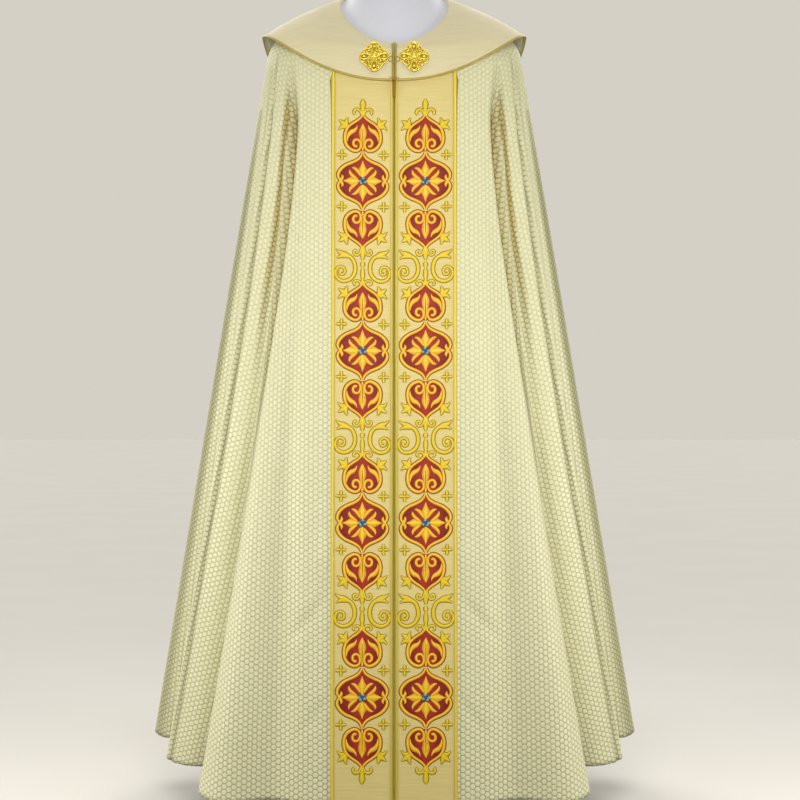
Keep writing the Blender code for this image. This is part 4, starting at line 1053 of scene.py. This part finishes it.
# Embroidery silks: floss laid as satin stitch, smooth and glossy along the thread; the
# stitches are 0.4 mm apart, drawn 1.2 mm apart so that they show
thread_colours = (
    # title, dark, light, plain-stroke dark, plain-stroke light, painted shade colour of the sides, roughness
    ("red_silk", "8A1E0D", "AC2E1A", "8A1E0D", "AC2E1A", "B88C70", 0.6),
    ("brown_cord", "5E3208", "7C4A10", "5E3208", "7C4A10", "FFFFFF", 0.6),
    ("olive_cord", "6E6014", "8A7C1E", "6E6014", "8A7C1E", "FFFFFF", 0.6),
    ("orange_silk", "E09A26", "F2B446", "E09A26", "F2B446", "E0BE90", 0.45),
    ("yellow_silk", "EABC12", "F9D828", "D8B818", "ECD32C", "D6B06C", 0.45),
    ("blue_knots", "1F4A5E", "34708A", "6F9AA6", "9DBDC2", "FFFFFF", 0.4),
)
for title, dark, light, plain_dark, plain_light, side_shade_colour, roughness in thread_colours:
    floss, tree, shader = new_finish(f"floss_{title}", {
        "Roughness": roughness, "Specular IOR Level": 0.3})
    stitch_uv = add_node(tree, "ShaderNodeUVMap", {"uv_map": "stitches"}).outputs["UV"]
    stitches = add_node(tree, "ShaderNodeTexNoise", {"noise_dimensions": "2D"}, {
        "Vector": add_node(tree, "ShaderNodeMapping", inputs={
            "Vector": stitch_uv, "Scale": (850.0, 70.0, 1.0)}).outputs["Vector"],
        "Scale": 1.0, "Detail": 2.0})
    spread = add_node(tree, "ShaderNodeMapRange", inputs={
        "Value": stitches.outputs["Fac"], "From Min": 0.3, "From Max": 0.7})
    framed_tint = add_node(tree, "ShaderNodeMix", {"data_type": "RGBA"}, {
        "Factor": spread.outputs["Result"], 6: linear(dark), 7: linear(light)})
    plain_tint = add_node(tree, "ShaderNodeMix", {"data_type": "RGBA"}, {
        "Factor": spread.outputs["Result"], 6: linear(plain_dark), 7: linear(plain_light)})
    tone = add_node(tree, "ShaderNodeAttribute", {"attribute_name": "tone"})
    tint = add_node(tree, "ShaderNodeMix", {"data_type": "RGBA"}, {
        "Factor": tone.outputs["Fac"], 6: framed_tint.outputs[2], 7: plain_tint.outputs[2]})
    # Painted shade: the floss is painted bright along the middle of a stroke and darker towards its two sides
    side_of = add_node(tree, "ShaderNodeMapRange", {"interpolation_type": "SMOOTHSTEP"}, {
        "Value": add_node(tree, "ShaderNodeAttribute", {"attribute_name": "edge"}).outputs["Fac"],
        "From Min": 0.25, "From Max": 1.0})
    side_shaded = add_node(tree, "ShaderNodeMix", {"data_type": "RGBA", "blend_type": "MULTIPLY"}, {
        "Factor": side_of.outputs["Result"], 6: tint.outputs[2], 7: linear(side_shade_colour)})
    tree.links.new(side_shaded.outputs[2], shader.inputs["Base Color"])
    bump = add_node(tree, "ShaderNodeBump", inputs={
        "Strength": 0.4, "Distance": 0.0003, "Height": stitches.outputs["Fac"]})
    tree.links.new(bump.outputs["Normal"], shader.inputs["Normal"])

    places, quads, maps, tones, edges = [], [], [], [], []
    start = 0
    for grid, along, across, patch_tone, edge in threads_laid[title]:
        rows, columns = grid.shape[:2]
        corner = start + np.arange(rows * columns).reshape(rows, columns)
        quads.append(np.stack((corner[:-1, :-1], corner[1:, :-1], corner[1:, 1:], corner[:-1, 1:]),
                              axis=-1).reshape(-1, 4))
        places.append(grid.reshape(-1, 3))
        maps.append(np.stack((along, across), axis=-1).reshape(-1, 2))
        tones.append(np.full(rows * columns, patch_tone))
        edges.append(edge.ravel())
        start += rows * columns
    places = np.concatenate(places)
    quads = np.concatenate(quads)
    maps = np.concatenate(maps)
    tones = np.concatenate(tones)
    edges = np.concatenate(edges)
    points = on_orphrey(places[:, 0], places[:, 1], places[:, 2] - 0.0001)
    for side, sign in (("left", 1.0), ("right", mirror)):
        order = quads if side == "left" else quads[:, ::-1]
        mesh = bpy.data.meshes.new(f"{title}_{side}")
        mesh.from_pydata((points * sign).tolist(), [], order.tolist())
        uv = mesh.uv_layers.new(name="stitches")
        uv.data.foreach_set("uv", maps[order.reshape(-1)].ravel())
        store = mesh.attributes.new("tone", "FLOAT", "POINT")
        store.data.foreach_set("value", tones)
        store = mesh.attributes.new("edge", "FLOAT", "POINT")
        store.data.foreach_set("value", edges)
        mesh.shade_smooth()
        mesh.materials.append(floss)
        piece = bpy.data.objects.new(f"{title}_{side}", mesh)
        bpy.context.scene.collection.objects.link(piece)
        dress(piece, "orphrey_cloth")


# Collar: a round cape collar with its lining and a twisted cord round its edges
# Cut flat as a ring from fine ribbed silk, lined in blue-grey, turned out and pressed; the
# cord is sewn into the seam of both front edges and the whole lower edge.
COLLAR_WALL = 0.0018
LINING_WALL = 0.0010
COLLAR_EDGE_X = 0.0042
# The lining is built on the outer rows of the collar alone, where it shows
collar_lifts = np.array(((0.0008, 0.0), (0.0020, 0.0020), (0.0050, 0.0060), (0.0065, 0.0120)))
collar_turns = np.radians(np.linspace(-90.0, 90.0, 97))


def collar_edge_points(turns):
    """Lower edge of the collar: shallow in front, pointed at the shoulders, deeper behind."""
    sine = np.sin(turns)
    cosine = np.maximum(np.cos(turns), 0.0)
    power = 2.0 / 2.3
    front = sine < 0.0
    drop = np.where(front, 0.1052 * np.abs(sine) ** 2.5, 0.1380 * np.abs(sine) ** 1.2)
    x = 0.2566 * cosine ** power
    y = np.where(front, 0.1325, 0.178) * np.sign(sine) * np.abs(sine) ** power
    return np.stack((x, y, 1.5226 - drop), axis=-1)


collar_levels = np.array((-1.0, -2.0 / 3.0, -1.0 / 3.0))
level_grid, turn_grid = np.meshgrid(collar_levels, collar_turns)
under = shoulder_points(level_grid, turn_grid)
lifts = collar_lifts[None, :3, 0] + np.cos(collar_turns)[:, None] ** 2 * collar_lifts[None, :3, 1]
laid = under + grid_normals(under) * (lifts + REST + BODY_WALL)[..., None]
control = np.concatenate((laid, collar_edge_points(collar_turns)[:, None, :]), axis=1)
half_collar = between_rows(control.transpose(1, 0, 2), np.linspace(0.0, 3.0, 25)).transpose(1, 0, 2)
half_collar[0, :, 0] = COLLAR_EDGE_X
half_collar[-1, :, 0] = 0.0
collar_grid = np.concatenate((half_collar, half_collar[::-1][1:] * mirror))
collar_normals = grid_normals(collar_grid)
plan = collar_grid[:, 0, :2]
plan_reach = np.linalg.norm(plan, axis=1)
radial = np.concatenate((np.zeros((len(collar_grid), 1)),
                         np.cumsum(np.linalg.norm(np.diff(collar_grid, axis=1), axis=2), axis=1)), axis=1)
collar_flat = (plan / plan_reach[:, None])[:, None, :] * (plan_reach[:, None] + radial)[..., None]

# Fine ribbed silk: ribs 0.5 mm apart run from shoulder to shoulder, drawn 2.2 mm apart so
# that they show, on a pale matt cream
collar_silk, tree, shader = new_finish("fine_ribbed_cream_silk", {
    "Roughness": 0.6, "Specular IOR Level": 0.3, "Sheen Weight": 0.15})
flat_uv = add_node(tree, "ShaderNodeUVMap", {"uv_map": "flat_cut"}).outputs["UV"]
ribs = add_node(tree, "ShaderNodeTexWave", {"wave_type": "BANDS", "bands_direction": "Y"}, {
    "Vector": flat_uv, "Scale": 140.0, "Distortion": 0.3, "Detail": 1.0})
slubs = add_node(tree, "ShaderNodeTexNoise", {"noise_dimensions": "2D"}, {
    "Vector": add_node(tree, "ShaderNodeMapping", inputs={
        "Vector": flat_uv, "Scale": (14.0, 420.0, 1.0)}).outputs["Vector"],
    "Scale": 1.0, "Detail": 2.0})
cloudy = add_node(tree, "ShaderNodeTexNoise", {"noise_dimensions": "2D"}, {
    "Vector": flat_uv, "Scale": 7.0, "Detail": 3.0})
ground = add_node(tree, "ShaderNodeMix", {"data_type": "RGBA"}, {
    "Factor": cloudy.outputs["Fac"], 6: linear("DACD9E"), 7: linear("E1D6AC")})
streak = add_node(tree, "ShaderNodeMapRange", inputs={
    "Value": slubs.outputs["Fac"], "From Min": 0.3, "From Max": 0.7, "To Min": 0.95, "To Max": 1.03})
shaded = add_node(tree, "ShaderNodeVectorMath", {"operation": "SCALE"}, {
    0: ground.outputs[2], "Scale": streak.outputs["Result"]})
tree.links.new(shaded.outputs["Vector"], shader.inputs["Base Color"])
bump = add_node(tree, "ShaderNodeBump", inputs={
    "Strength": 0.3, "Distance": 0.0003, "Height": ribs.outputs["Fac"]})
tree.links.new(bump.outputs["Normal"], shader.inputs["Normal"])

# Lining: blue-grey satin, woven, smooth with a soft gloss
lining_satin, tree, shader = new_finish("blue_grey_lining_satin", {
    "Roughness": 0.45, "Specular IOR Level": 0.4})
weft = add_node(tree, "ShaderNodeTexNoise", {"noise_dimensions": "2D"}, {
    "Vector": add_node(tree, "ShaderNodeMapping", inputs={
        "Vector": add_node(tree, "ShaderNodeUVMap", {"uv_map": "flat_cut"}).outputs["UV"],
        "Scale": (700.0, 60.0, 1.0)}).outputs["Vector"],
    "Scale": 1.0, "Detail": 2.0})
tint = add_node(tree, "ShaderNodeMix", {"data_type": "RGBA"}, {
    "Factor": weft.outputs["Fac"], 6: linear("DCDED2"), 7: linear("E8EAE0")})
tree.links.new(tint.outputs[2], shader.inputs["Base Color"])

collar_face = collar_grid + collar_normals * COLLAR_WALL
collar = sheet_from_grid("ribbed_silk_collar", collar_face, collar_flat)
collar.data.materials.append(collar_silk)
collar.data.materials.append(collar_silk)
thicken(collar, COLLAR_WALL)
dress(collar, "collar_cloth", "collar")

lining_rows = slice(12, -1)
lining_face = collar_grid[:, lining_rows] - collar_normals[:, lining_rows] * GAP
lining = sheet_from_grid("satin_collar_lining", lining_face, collar_flat[:, lining_rows])
lining.data.materials.append(lining_satin)
lining.data.materials.append(lining_satin)
thicken(lining, LINING_WALL)
dress(lining, "lining_cloth", "collar_lining")

# Twisted cord: three plies of olive-gold rayon, a turn every 7 mm
PIPING_RADIUS = 0.0016
CORD_STEP = 0.0013
CORD_TURN = 0.007
cord_reach = PIPING_RADIUS + 2.0 * GAP
middle = collar_grid + collar_normals * COLLAR_WALL / 2.0
outline = np.concatenate((middle[0, :-1], middle[:, -1], middle[-1, :-1][::-1]))
lean = np.concatenate((collar_normals[0, :-1], collar_normals[:, -1], collar_normals[-1, :-1][::-1]))
runs = outline[1:] - outline[:-1]
away = np.cross(runs, lean[1:] + lean[:-1])
away /= np.linalg.norm(away, axis=1, keepdims=True)
route = [outline[0] + away[0] * cord_reach]
for corner, before, after in zip(outline[1:-1], away[:-1], away[1:]):
    between = before + after
    between /= np.linalg.norm(between)
    if before @ after < 0.7:
        route += [corner + before * cord_reach, corner + between * cord_reach * 1.06,
                  corner + after * cord_reach]
    else:
        route.append(corner + between * cord_reach / (between @ before))
route.append(outline[-1] + away[-1] * cord_reach)
route = np.array(route)
travelled = np.concatenate(((0.0,), np.cumsum(np.linalg.norm(np.diff(route, axis=0), axis=1))))
steps = int(travelled[-1] / CORD_STEP)
places = np.linspace(0.0, travelled[-1], steps)
cord_line = np.stack([np.interp(places, travelled, route[:, axis]) for axis in range(3)], axis=-1)
cord_run = np.gradient(cord_line, axis=0)
cord_run /= np.linalg.norm(cord_run, axis=1, keepdims=True)
frames = [np.cross(cord_run[0], (0.0, 1.0, 0.0))]
frames[0] /= np.linalg.norm(frames[0])
for direction in cord_run[1:]:
    carried = frames[-1] - direction * (frames[-1] @ direction)
    frames.append(carried / np.linalg.norm(carried))
frames = np.array(frames)
sides = np.cross(cord_run, frames)
around = np.arange(13) * 2.0 * math.pi / 12.0
twist = places[:, None] * 2.0 * math.pi / CORD_TURN
ply = 0.86 + 0.14 * np.abs(np.cos(1.5 * (around[None, :] - twist)))
ring = PIPING_RADIUS * ply[..., None] * (
    np.cos(around)[None, :, None] * frames[:, None, :] + np.sin(around)[None, :, None] * sides[:, None, :])
cord_flat = np.stack(np.broadcast_arrays(around[None, :] * PIPING_RADIUS, places[:, None]), axis=-1)
cord = sheet_from_grid("twisted_gold_cord", cord_line[:, None, :] + ring, cord_flat)
cord_build = bmesh.new()
cord_build.from_mesh(cord.data)
bmesh.ops.remove_doubles(cord_build, verts=cord_build.verts[:], dist=1e-6)
bmesh.ops.holes_fill(cord_build, edges=[e for e in cord_build.edges if e.is_boundary], sides=0)
bmesh.ops.recalc_face_normals(cord_build, faces=cord_build.faces[:])
cord_build.to_mesh(cord.data)
cord_build.free()
# Rayon cord, twisted: olive gold, glossy on the crowns of the plies and dark between them
rayon_cord, tree, shader = new_finish("twisted_rayon_cord", {
    "Roughness": 0.4, "Metallic": 0.2, "Specular IOR Level": 0.5})
fibres = add_node(tree, "ShaderNodeTexNoise", inputs={
    "Vector": add_node(tree, "ShaderNodeTexCoord").outputs["Object"], "Scale": 900.0, "Detail": 2.0})
tint = add_node(tree, "ShaderNodeMix", {"data_type": "RGBA"}, {
    "Factor": fibres.outputs["Fac"], 6: linear("9A8422"), 7: linear("CDB63C")})
tree.links.new(tint.outputs[2], shader.inputs["Base Color"])
cord.data.materials.append(rayon_cord)
dress(cord, "gold_cord", "collar_piping")

# Clasp: two gilt filigree halves sewn to the collar, and the wire link that holds them together
# Each half is a cast plate with drawn wire loops and scrolls and soldered beads on it.
CLASP_X = 0.0378
CLASP_Z = 1.4560
CLASP_RAISED = 0.0045
CLASP_RADIUS = 0.0288
CLASP_TALL = 1.10
PLATE_THICKNESS = 0.0014

# Gilt brass, cast and polished on its wires and beads: bright, with a soft wide highlight
gilt, tree, shader = new_finish("polished_gilt_brass", {
    "Base Color": linear("F4DC5C"), "Metallic": 1.0, "Roughness": 0.3})
swirl = add_node(tree, "ShaderNodeTexNoise", inputs={
    "Vector": add_node(tree, "ShaderNodeTexCoord").outputs["Object"], "Scale": 260.0, "Detail": 3.0})
tint = add_node(tree, "ShaderNodeMix", {"data_type": "RGBA"}, {
    "Factor": swirl.outputs["Fac"], 6: linear("E8CC48"), 7: linear("FFEA78")})
tree.links.new(tint.outputs[2], shader.inputs["Base Color"])

# The plate's ground is matted with a punch and darkened in its hollows, grains 0.8 mm across
matted, tree, shader = new_finish("matted_gilt_ground", {
    "Metallic": 0.9, "Roughness": 0.55})
grains = add_node(tree, "ShaderNodeTexVoronoi", inputs={
    "Vector": add_node(tree, "ShaderNodeTexCoord").outputs["Object"], "Scale": 1250.0})
tint = add_node(tree, "ShaderNodeMix", {"data_type": "RGBA"}, {
    "Factor": grains.outputs["Distance"], 6: linear("BCA43C"), 7: linear("8A7722")})
tree.links.new(tint.outputs[2], shader.inputs["Base Color"])
bump = add_node(tree, "ShaderNodeBump", inputs={
    "Strength": 0.6, "Distance": 0.0003, "Height": grains.outputs["Distance"]})
tree.links.new(bump.outputs["Normal"], shader.inputs["Normal"])


def clasp_rim(turns):
    """How far the plate's lobed edge is from its middle."""
    return CLASP_RADIUS * (1.0 - 0.10 * (1.0 - np.cos(4.0 * turns)))


def bend_wire(points, radius, closed=False):
    """A drawn wire through points, as a mesh."""
    curve = bpy.data.curves.new("wire", "CURVE")
    curve.dimensions = "3D"
    curve.bevel_depth = radius
    curve.bevel_resolution = 2
    curve.use_fill_caps = not closed
    spline = curve.splines.new("POLY")
    spline.points.add(len(points) - 1)
    spline.points.foreach_set("co", np.column_stack((points, np.ones(len(points)))).ravel())
    spline.use_cyclic_u = closed
    wire = bpy.data.objects.new("wire", curve)
    bpy.context.scene.collection.objects.link(wire)
    bpy.ops.object.select_all(action="DESELECT")
    wire.select_set(True)
    bpy.context.view_layer.objects.active = wire
    bpy.ops.object.convert(target="MESH")
    wire = bpy.context.object
    wire.data.shade_smooth()
    wire.data.materials.clear()
    wire.data.materials.append(gilt)
    return wire


def solder_bead(reach, turn, height, radius, flat=1.0):
    """A bead on the plate, at a distance and a turn from its middle."""
    bpy.ops.mesh.primitive_uv_sphere_add(segments=14, ring_count=8, radius=radius)
    bead = bpy.context.object
    bead.scale = (1.0, 1.0, flat)
    bead.location = (reach * math.cos(turn), CLASP_TALL * reach * math.sin(turn), height)
    apply_place(bead)
    bead.data.shade_smooth()
    bead.data.materials.append(gilt)
    return bead


# The plate: a disc whose rim is pulled into four lobes, thickened, its face set in and raised
bpy.ops.mesh.primitive_circle_add(vertices=96, radius=CLASP_RADIUS, fill_type="NGON")
plate = bpy.context.object
plate.name = "filigree_clasp_left"
for corner in plate.data.vertices:
    turn = math.atan2(corner.co.y, corner.co.x)
    reach = float(clasp_rim(turn))
    corner.co = (reach * math.cos(turn), CLASP_TALL * reach * math.sin(turn), 0.0)
bpy.ops.object.mode_set(mode="EDIT")
bpy.ops.mesh.select_all(action="SELECT")
bpy.ops.mesh.extrude_region_move(TRANSFORM_OT_translate={"value": (0.0, 0.0, PLATE_THICKNESS)})
bpy.ops.mesh.inset(thickness=0.0016)
bpy.ops.transform.translate(value=(0.0, 0.0, -0.0004))
bpy.ops.mesh.select_all(action="SELECT")
bpy.ops.mesh.normals_make_consistent(inside=False)
bpy.ops.object.mode_set(mode="OBJECT")
rounding = plate.modifiers.new("rounding", "BEVEL")
rounding.width = 0.0003
rounding.segments = 2
rounding.limit_method = "ANGLE"
apply_modifiers(plate)
bpy.ops.object.shade_smooth_by_angle(angle=math.radians(40.0))
plate.data.materials.append(matted)

wire_height = PLATE_THICKNESS + 0.0004
fittings = []
loop_turns = np.linspace(0.0, 2.0 * math.pi, 33)[:-1]
clasp_loops = (
    # first turn in degrees, from, to, half width, wire radius, bead place, bead radius
    (0.0, 0.0058, 0.0262, 0.0068, 0.00085, 0.0190, 0.0026),
    (45.0, 0.0062, 0.0208, 0.0050, 0.00070, 0.0152, 0.0020),
)
for first_turn, inner, outer_end, half_width, radius, bead_place, bead_radius in clasp_loops:
    for quarter in range(4):
        turn = math.radians(first_turn) + quarter * math.pi / 2.0
        along = (inner + outer_end) / 2.0 - (outer_end - inner) / 2.0 * np.cos(loop_turns)
        side = half_width * np.sin(loop_turns) * (0.72 - 0.28 * np.cos(loop_turns))
        rise = wire_height + 0.0012 * np.sin(math.pi * (along - inner) / (outer_end - inner))
        points = np.stack((along * math.cos(turn) - side * math.sin(turn),
                           CLASP_TALL * (along * math.sin(turn) + side * math.cos(turn)), rise), axis=-1)
        fittings.append(bend_wire(points, radius, closed=True))
        fittings.append(solder_bead(bead_place, turn, wire_height + 0.0006, bead_radius))
        fittings.append(solder_bead(inner + 0.0042, turn, wire_height + 0.0004, bead_radius * 0.5))

# Scrolls between the loops, each turning in towards its bead
for number in range(8):
    turn = math.radians(22.5 + 45.0 * number)
    hand = 1.0 if number % 2 else -1.0
    swing = np.linspace(0.0, 3.4 * math.pi, 30)
    reach = 0.0030 * (1.0 - 0.75 * swing / swing[-1])
    middle = 0.0208 if number % 2 else 0.0206
    u = middle + reach * np.cos(swing)
    v = hand * reach * np.sin(swing)
    points = np.stack((u * math.cos(turn) - v * math.sin(turn),
                       CLASP_TALL * (u * math.sin(turn) + v * math.cos(turn)),
                       wire_height + 0.0007 * swing / swing[-1]), axis=-1)
    fittings.append(bend_wire(points, 0.0006))
    fittings.append(solder_bead(0.0118, turn, wire_height, 0.0009))

# The rim wire, the middle boss and its ring of grains
rim_turns = np.linspace(0.0, 2.0 * math.pi, 97)[:-1]
rim_reach = clasp_rim(rim_turns) - 0.0008
fittings.append(bend_wire(np.stack((rim_reach * np.cos(rim_turns), CLASP_TALL * rim_reach * np.sin(rim_turns),
                                    np.full(96, PLATE_THICKNESS + 0.0001)), axis=-1), 0.0008, closed=True))
fittings.append(solder_bead(0.0, 0.0, wire_height + 0.0004, 0.0042, 0.75))
for grain in range(12):
    fittings.append(solder_bead(0.0051, grain * math.pi / 6.0, wire_height, 0.0010))
bpy.ops.object.select_all(action="DESELECT")
for fitting in fittings:
    fitting.select_set(True)
plate.select_set(True)
bpy.context.view_layer.objects.active = plate
bpy.ops.object.join()

# Where the clasp lies: the collar's own surface, read by rays from the front
collar_surface = BVHTree.FromObject(collar, bpy.context.evaluated_depsgraph_get())
backward = Vector((0.0, 1.0, 0.0))
probe_reach = CLASP_RADIUS * np.linspace(-0.8, 0.8, 9)
hits = {}
for column, dx in enumerate(probe_reach):
    for row, dz in enumerate(probe_reach):
        hit = collar_surface.ray_cast(Vector((CLASP_X + dx, -1.0, CLASP_Z + CLASP_RAISED + dz)), backward)[0]
        if hit is not None:
            hits[column, row] = hit
lean = (hits[8, 4] - hits[0, 4]).cross(hits[4, 8] - hits[4, 0]).normalized()
proud = max((hit - hits[4, 4]).dot(lean) for hit in hits.values())
seat = hits[4, 4] + lean * (proud + GAP)
across = (Vector((1.0, 0.0, 0.0)) - lean * lean.x).normalized()
turned = Matrix((across, lean.cross(across), lean)).transposed().to_4x4()
plate.matrix_world = Matrix.Translation(seat) @ turned
apply_place(plate)
other = plate.copy()
other.data = plate.data.copy()
other.name = "filigree_clasp_right"
bpy.context.scene.collection.objects.link(other)
other.data.transform(Matrix.Diagonal((-1.0, 1.0, 1.0, 1.0)))
other.data.flip_normals()
dress(plate, "gilt_metal", "clasp_left")
dress(other, "gilt_metal", "clasp_right")

# The link: a long loop of wire, bowed over the two cords, whose ends lie on the plates' rims
link_turns = np.linspace(0.0, 2.0 * math.pi, 49)[:-1]
link_x = (CLASP_X - CLASP_RADIUS + 0.0016) * np.sign(np.cos(link_turns)) * np.abs(np.cos(link_turns)) ** 0.45
link_z = CLASP_Z + 0.0046 * np.sign(np.sin(link_turns)) * np.abs(np.sin(link_turns)) ** 0.6
link_front = collar_surface.ray_cast(Vector((0.0085, -1.0, CLASP_Z)), backward)[0].y
link_y = link_front - 0.0036 - 0.0012 * (1.0 - (link_x / 0.0106) ** 2)
link = bend_wire(np.stack((link_x, link_y, link_z), axis=-1), 0.0008, closed=True)
link.name = "wire_clasp_link"
link.data.materials[0] = matted
dress(link, "gilt_metal", "clasp_hook")

# Whipping: waxed brown thread wound round both cords where they turn out below the clasp
brown_whipping, tree, shader = new_finish("waxed_brown_whipping", {"Roughness": 0.5})
windings = add_node(tree, "ShaderNodeTexWave", {"wave_type": "BANDS", "bands_direction": "Z"}, {
    "Vector": add_node(tree, "ShaderNodeTexCoord").outputs["Object"], "Scale": 420.0, "Distortion": 0.6})
tint = add_node(tree, "ShaderNodeMix", {"data_type": "RGBA"}, {
    "Factor": windings.outputs["Fac"], 6: linear("6A4612"), 7: linear("AC8038")})
tree.links.new(tint.outputs[2], shader.inputs["Base Color"])
front_run = cord_line[(cord_line[:, 1] < 0.0) & (np.abs(cord_line[:, 0]) < 0.006)]
cord_corner = front_run[np.argmin(front_run[:, 2])]
bpy.ops.mesh.primitive_uv_sphere_add(segments=24, ring_count=14, radius=0.0030)
whipping = bpy.context.object
whipping.name = "thread_whipping"
whipping.scale = (1.7, 0.85, 1.0)
whipping.location = (0.0, cord_corner[1] - 0.0008, cord_corner[2] + 0.0022)
apply_place(whipping)
whipping.data.shade_smooth()
# Below it the ends of the two cords are twisted together and stitched down over the slit
edge_down = np.linspace(0.0, 0.3, 601)
edge_run = on_orphrey(np.full(601, -ORPHREY_WIDTH / 2.0), edge_down, np.full(601, 0.0012))
tail = edge_run[(edge_run[:, 2] < cord_corner[2]) & (edge_run[:, 2] > cord_corner[2] - 0.032)]
tail_turns = np.linspace(0.0, 9.0 * math.pi, len(tail))
tail_width = 0.0019 * np.linspace(1.0, 0.65, len(tail))
tail_cords = []
for phase in (0.0, math.pi):
    strand = np.stack((tail_width * np.sin(tail_turns + phase),
                       tail[:, 1] - tail_width * (1.0 + np.cos(tail_turns + phase)), tail[:, 2]), axis=-1)
    tail_cords.append(bend_wire(strand, 0.0016))
    tail_cords[-1].data.materials.clear()
bpy.ops.object.select_all(action="DESELECT")
for strand in tail_cords:
    strand.select_set(True)
whipping.select_set(True)
bpy.context.view_layer.objects.active = whipping
bpy.ops.object.join()
whipping.data.materials.append(brown_whipping)
dress(whipping, "gold_cord")
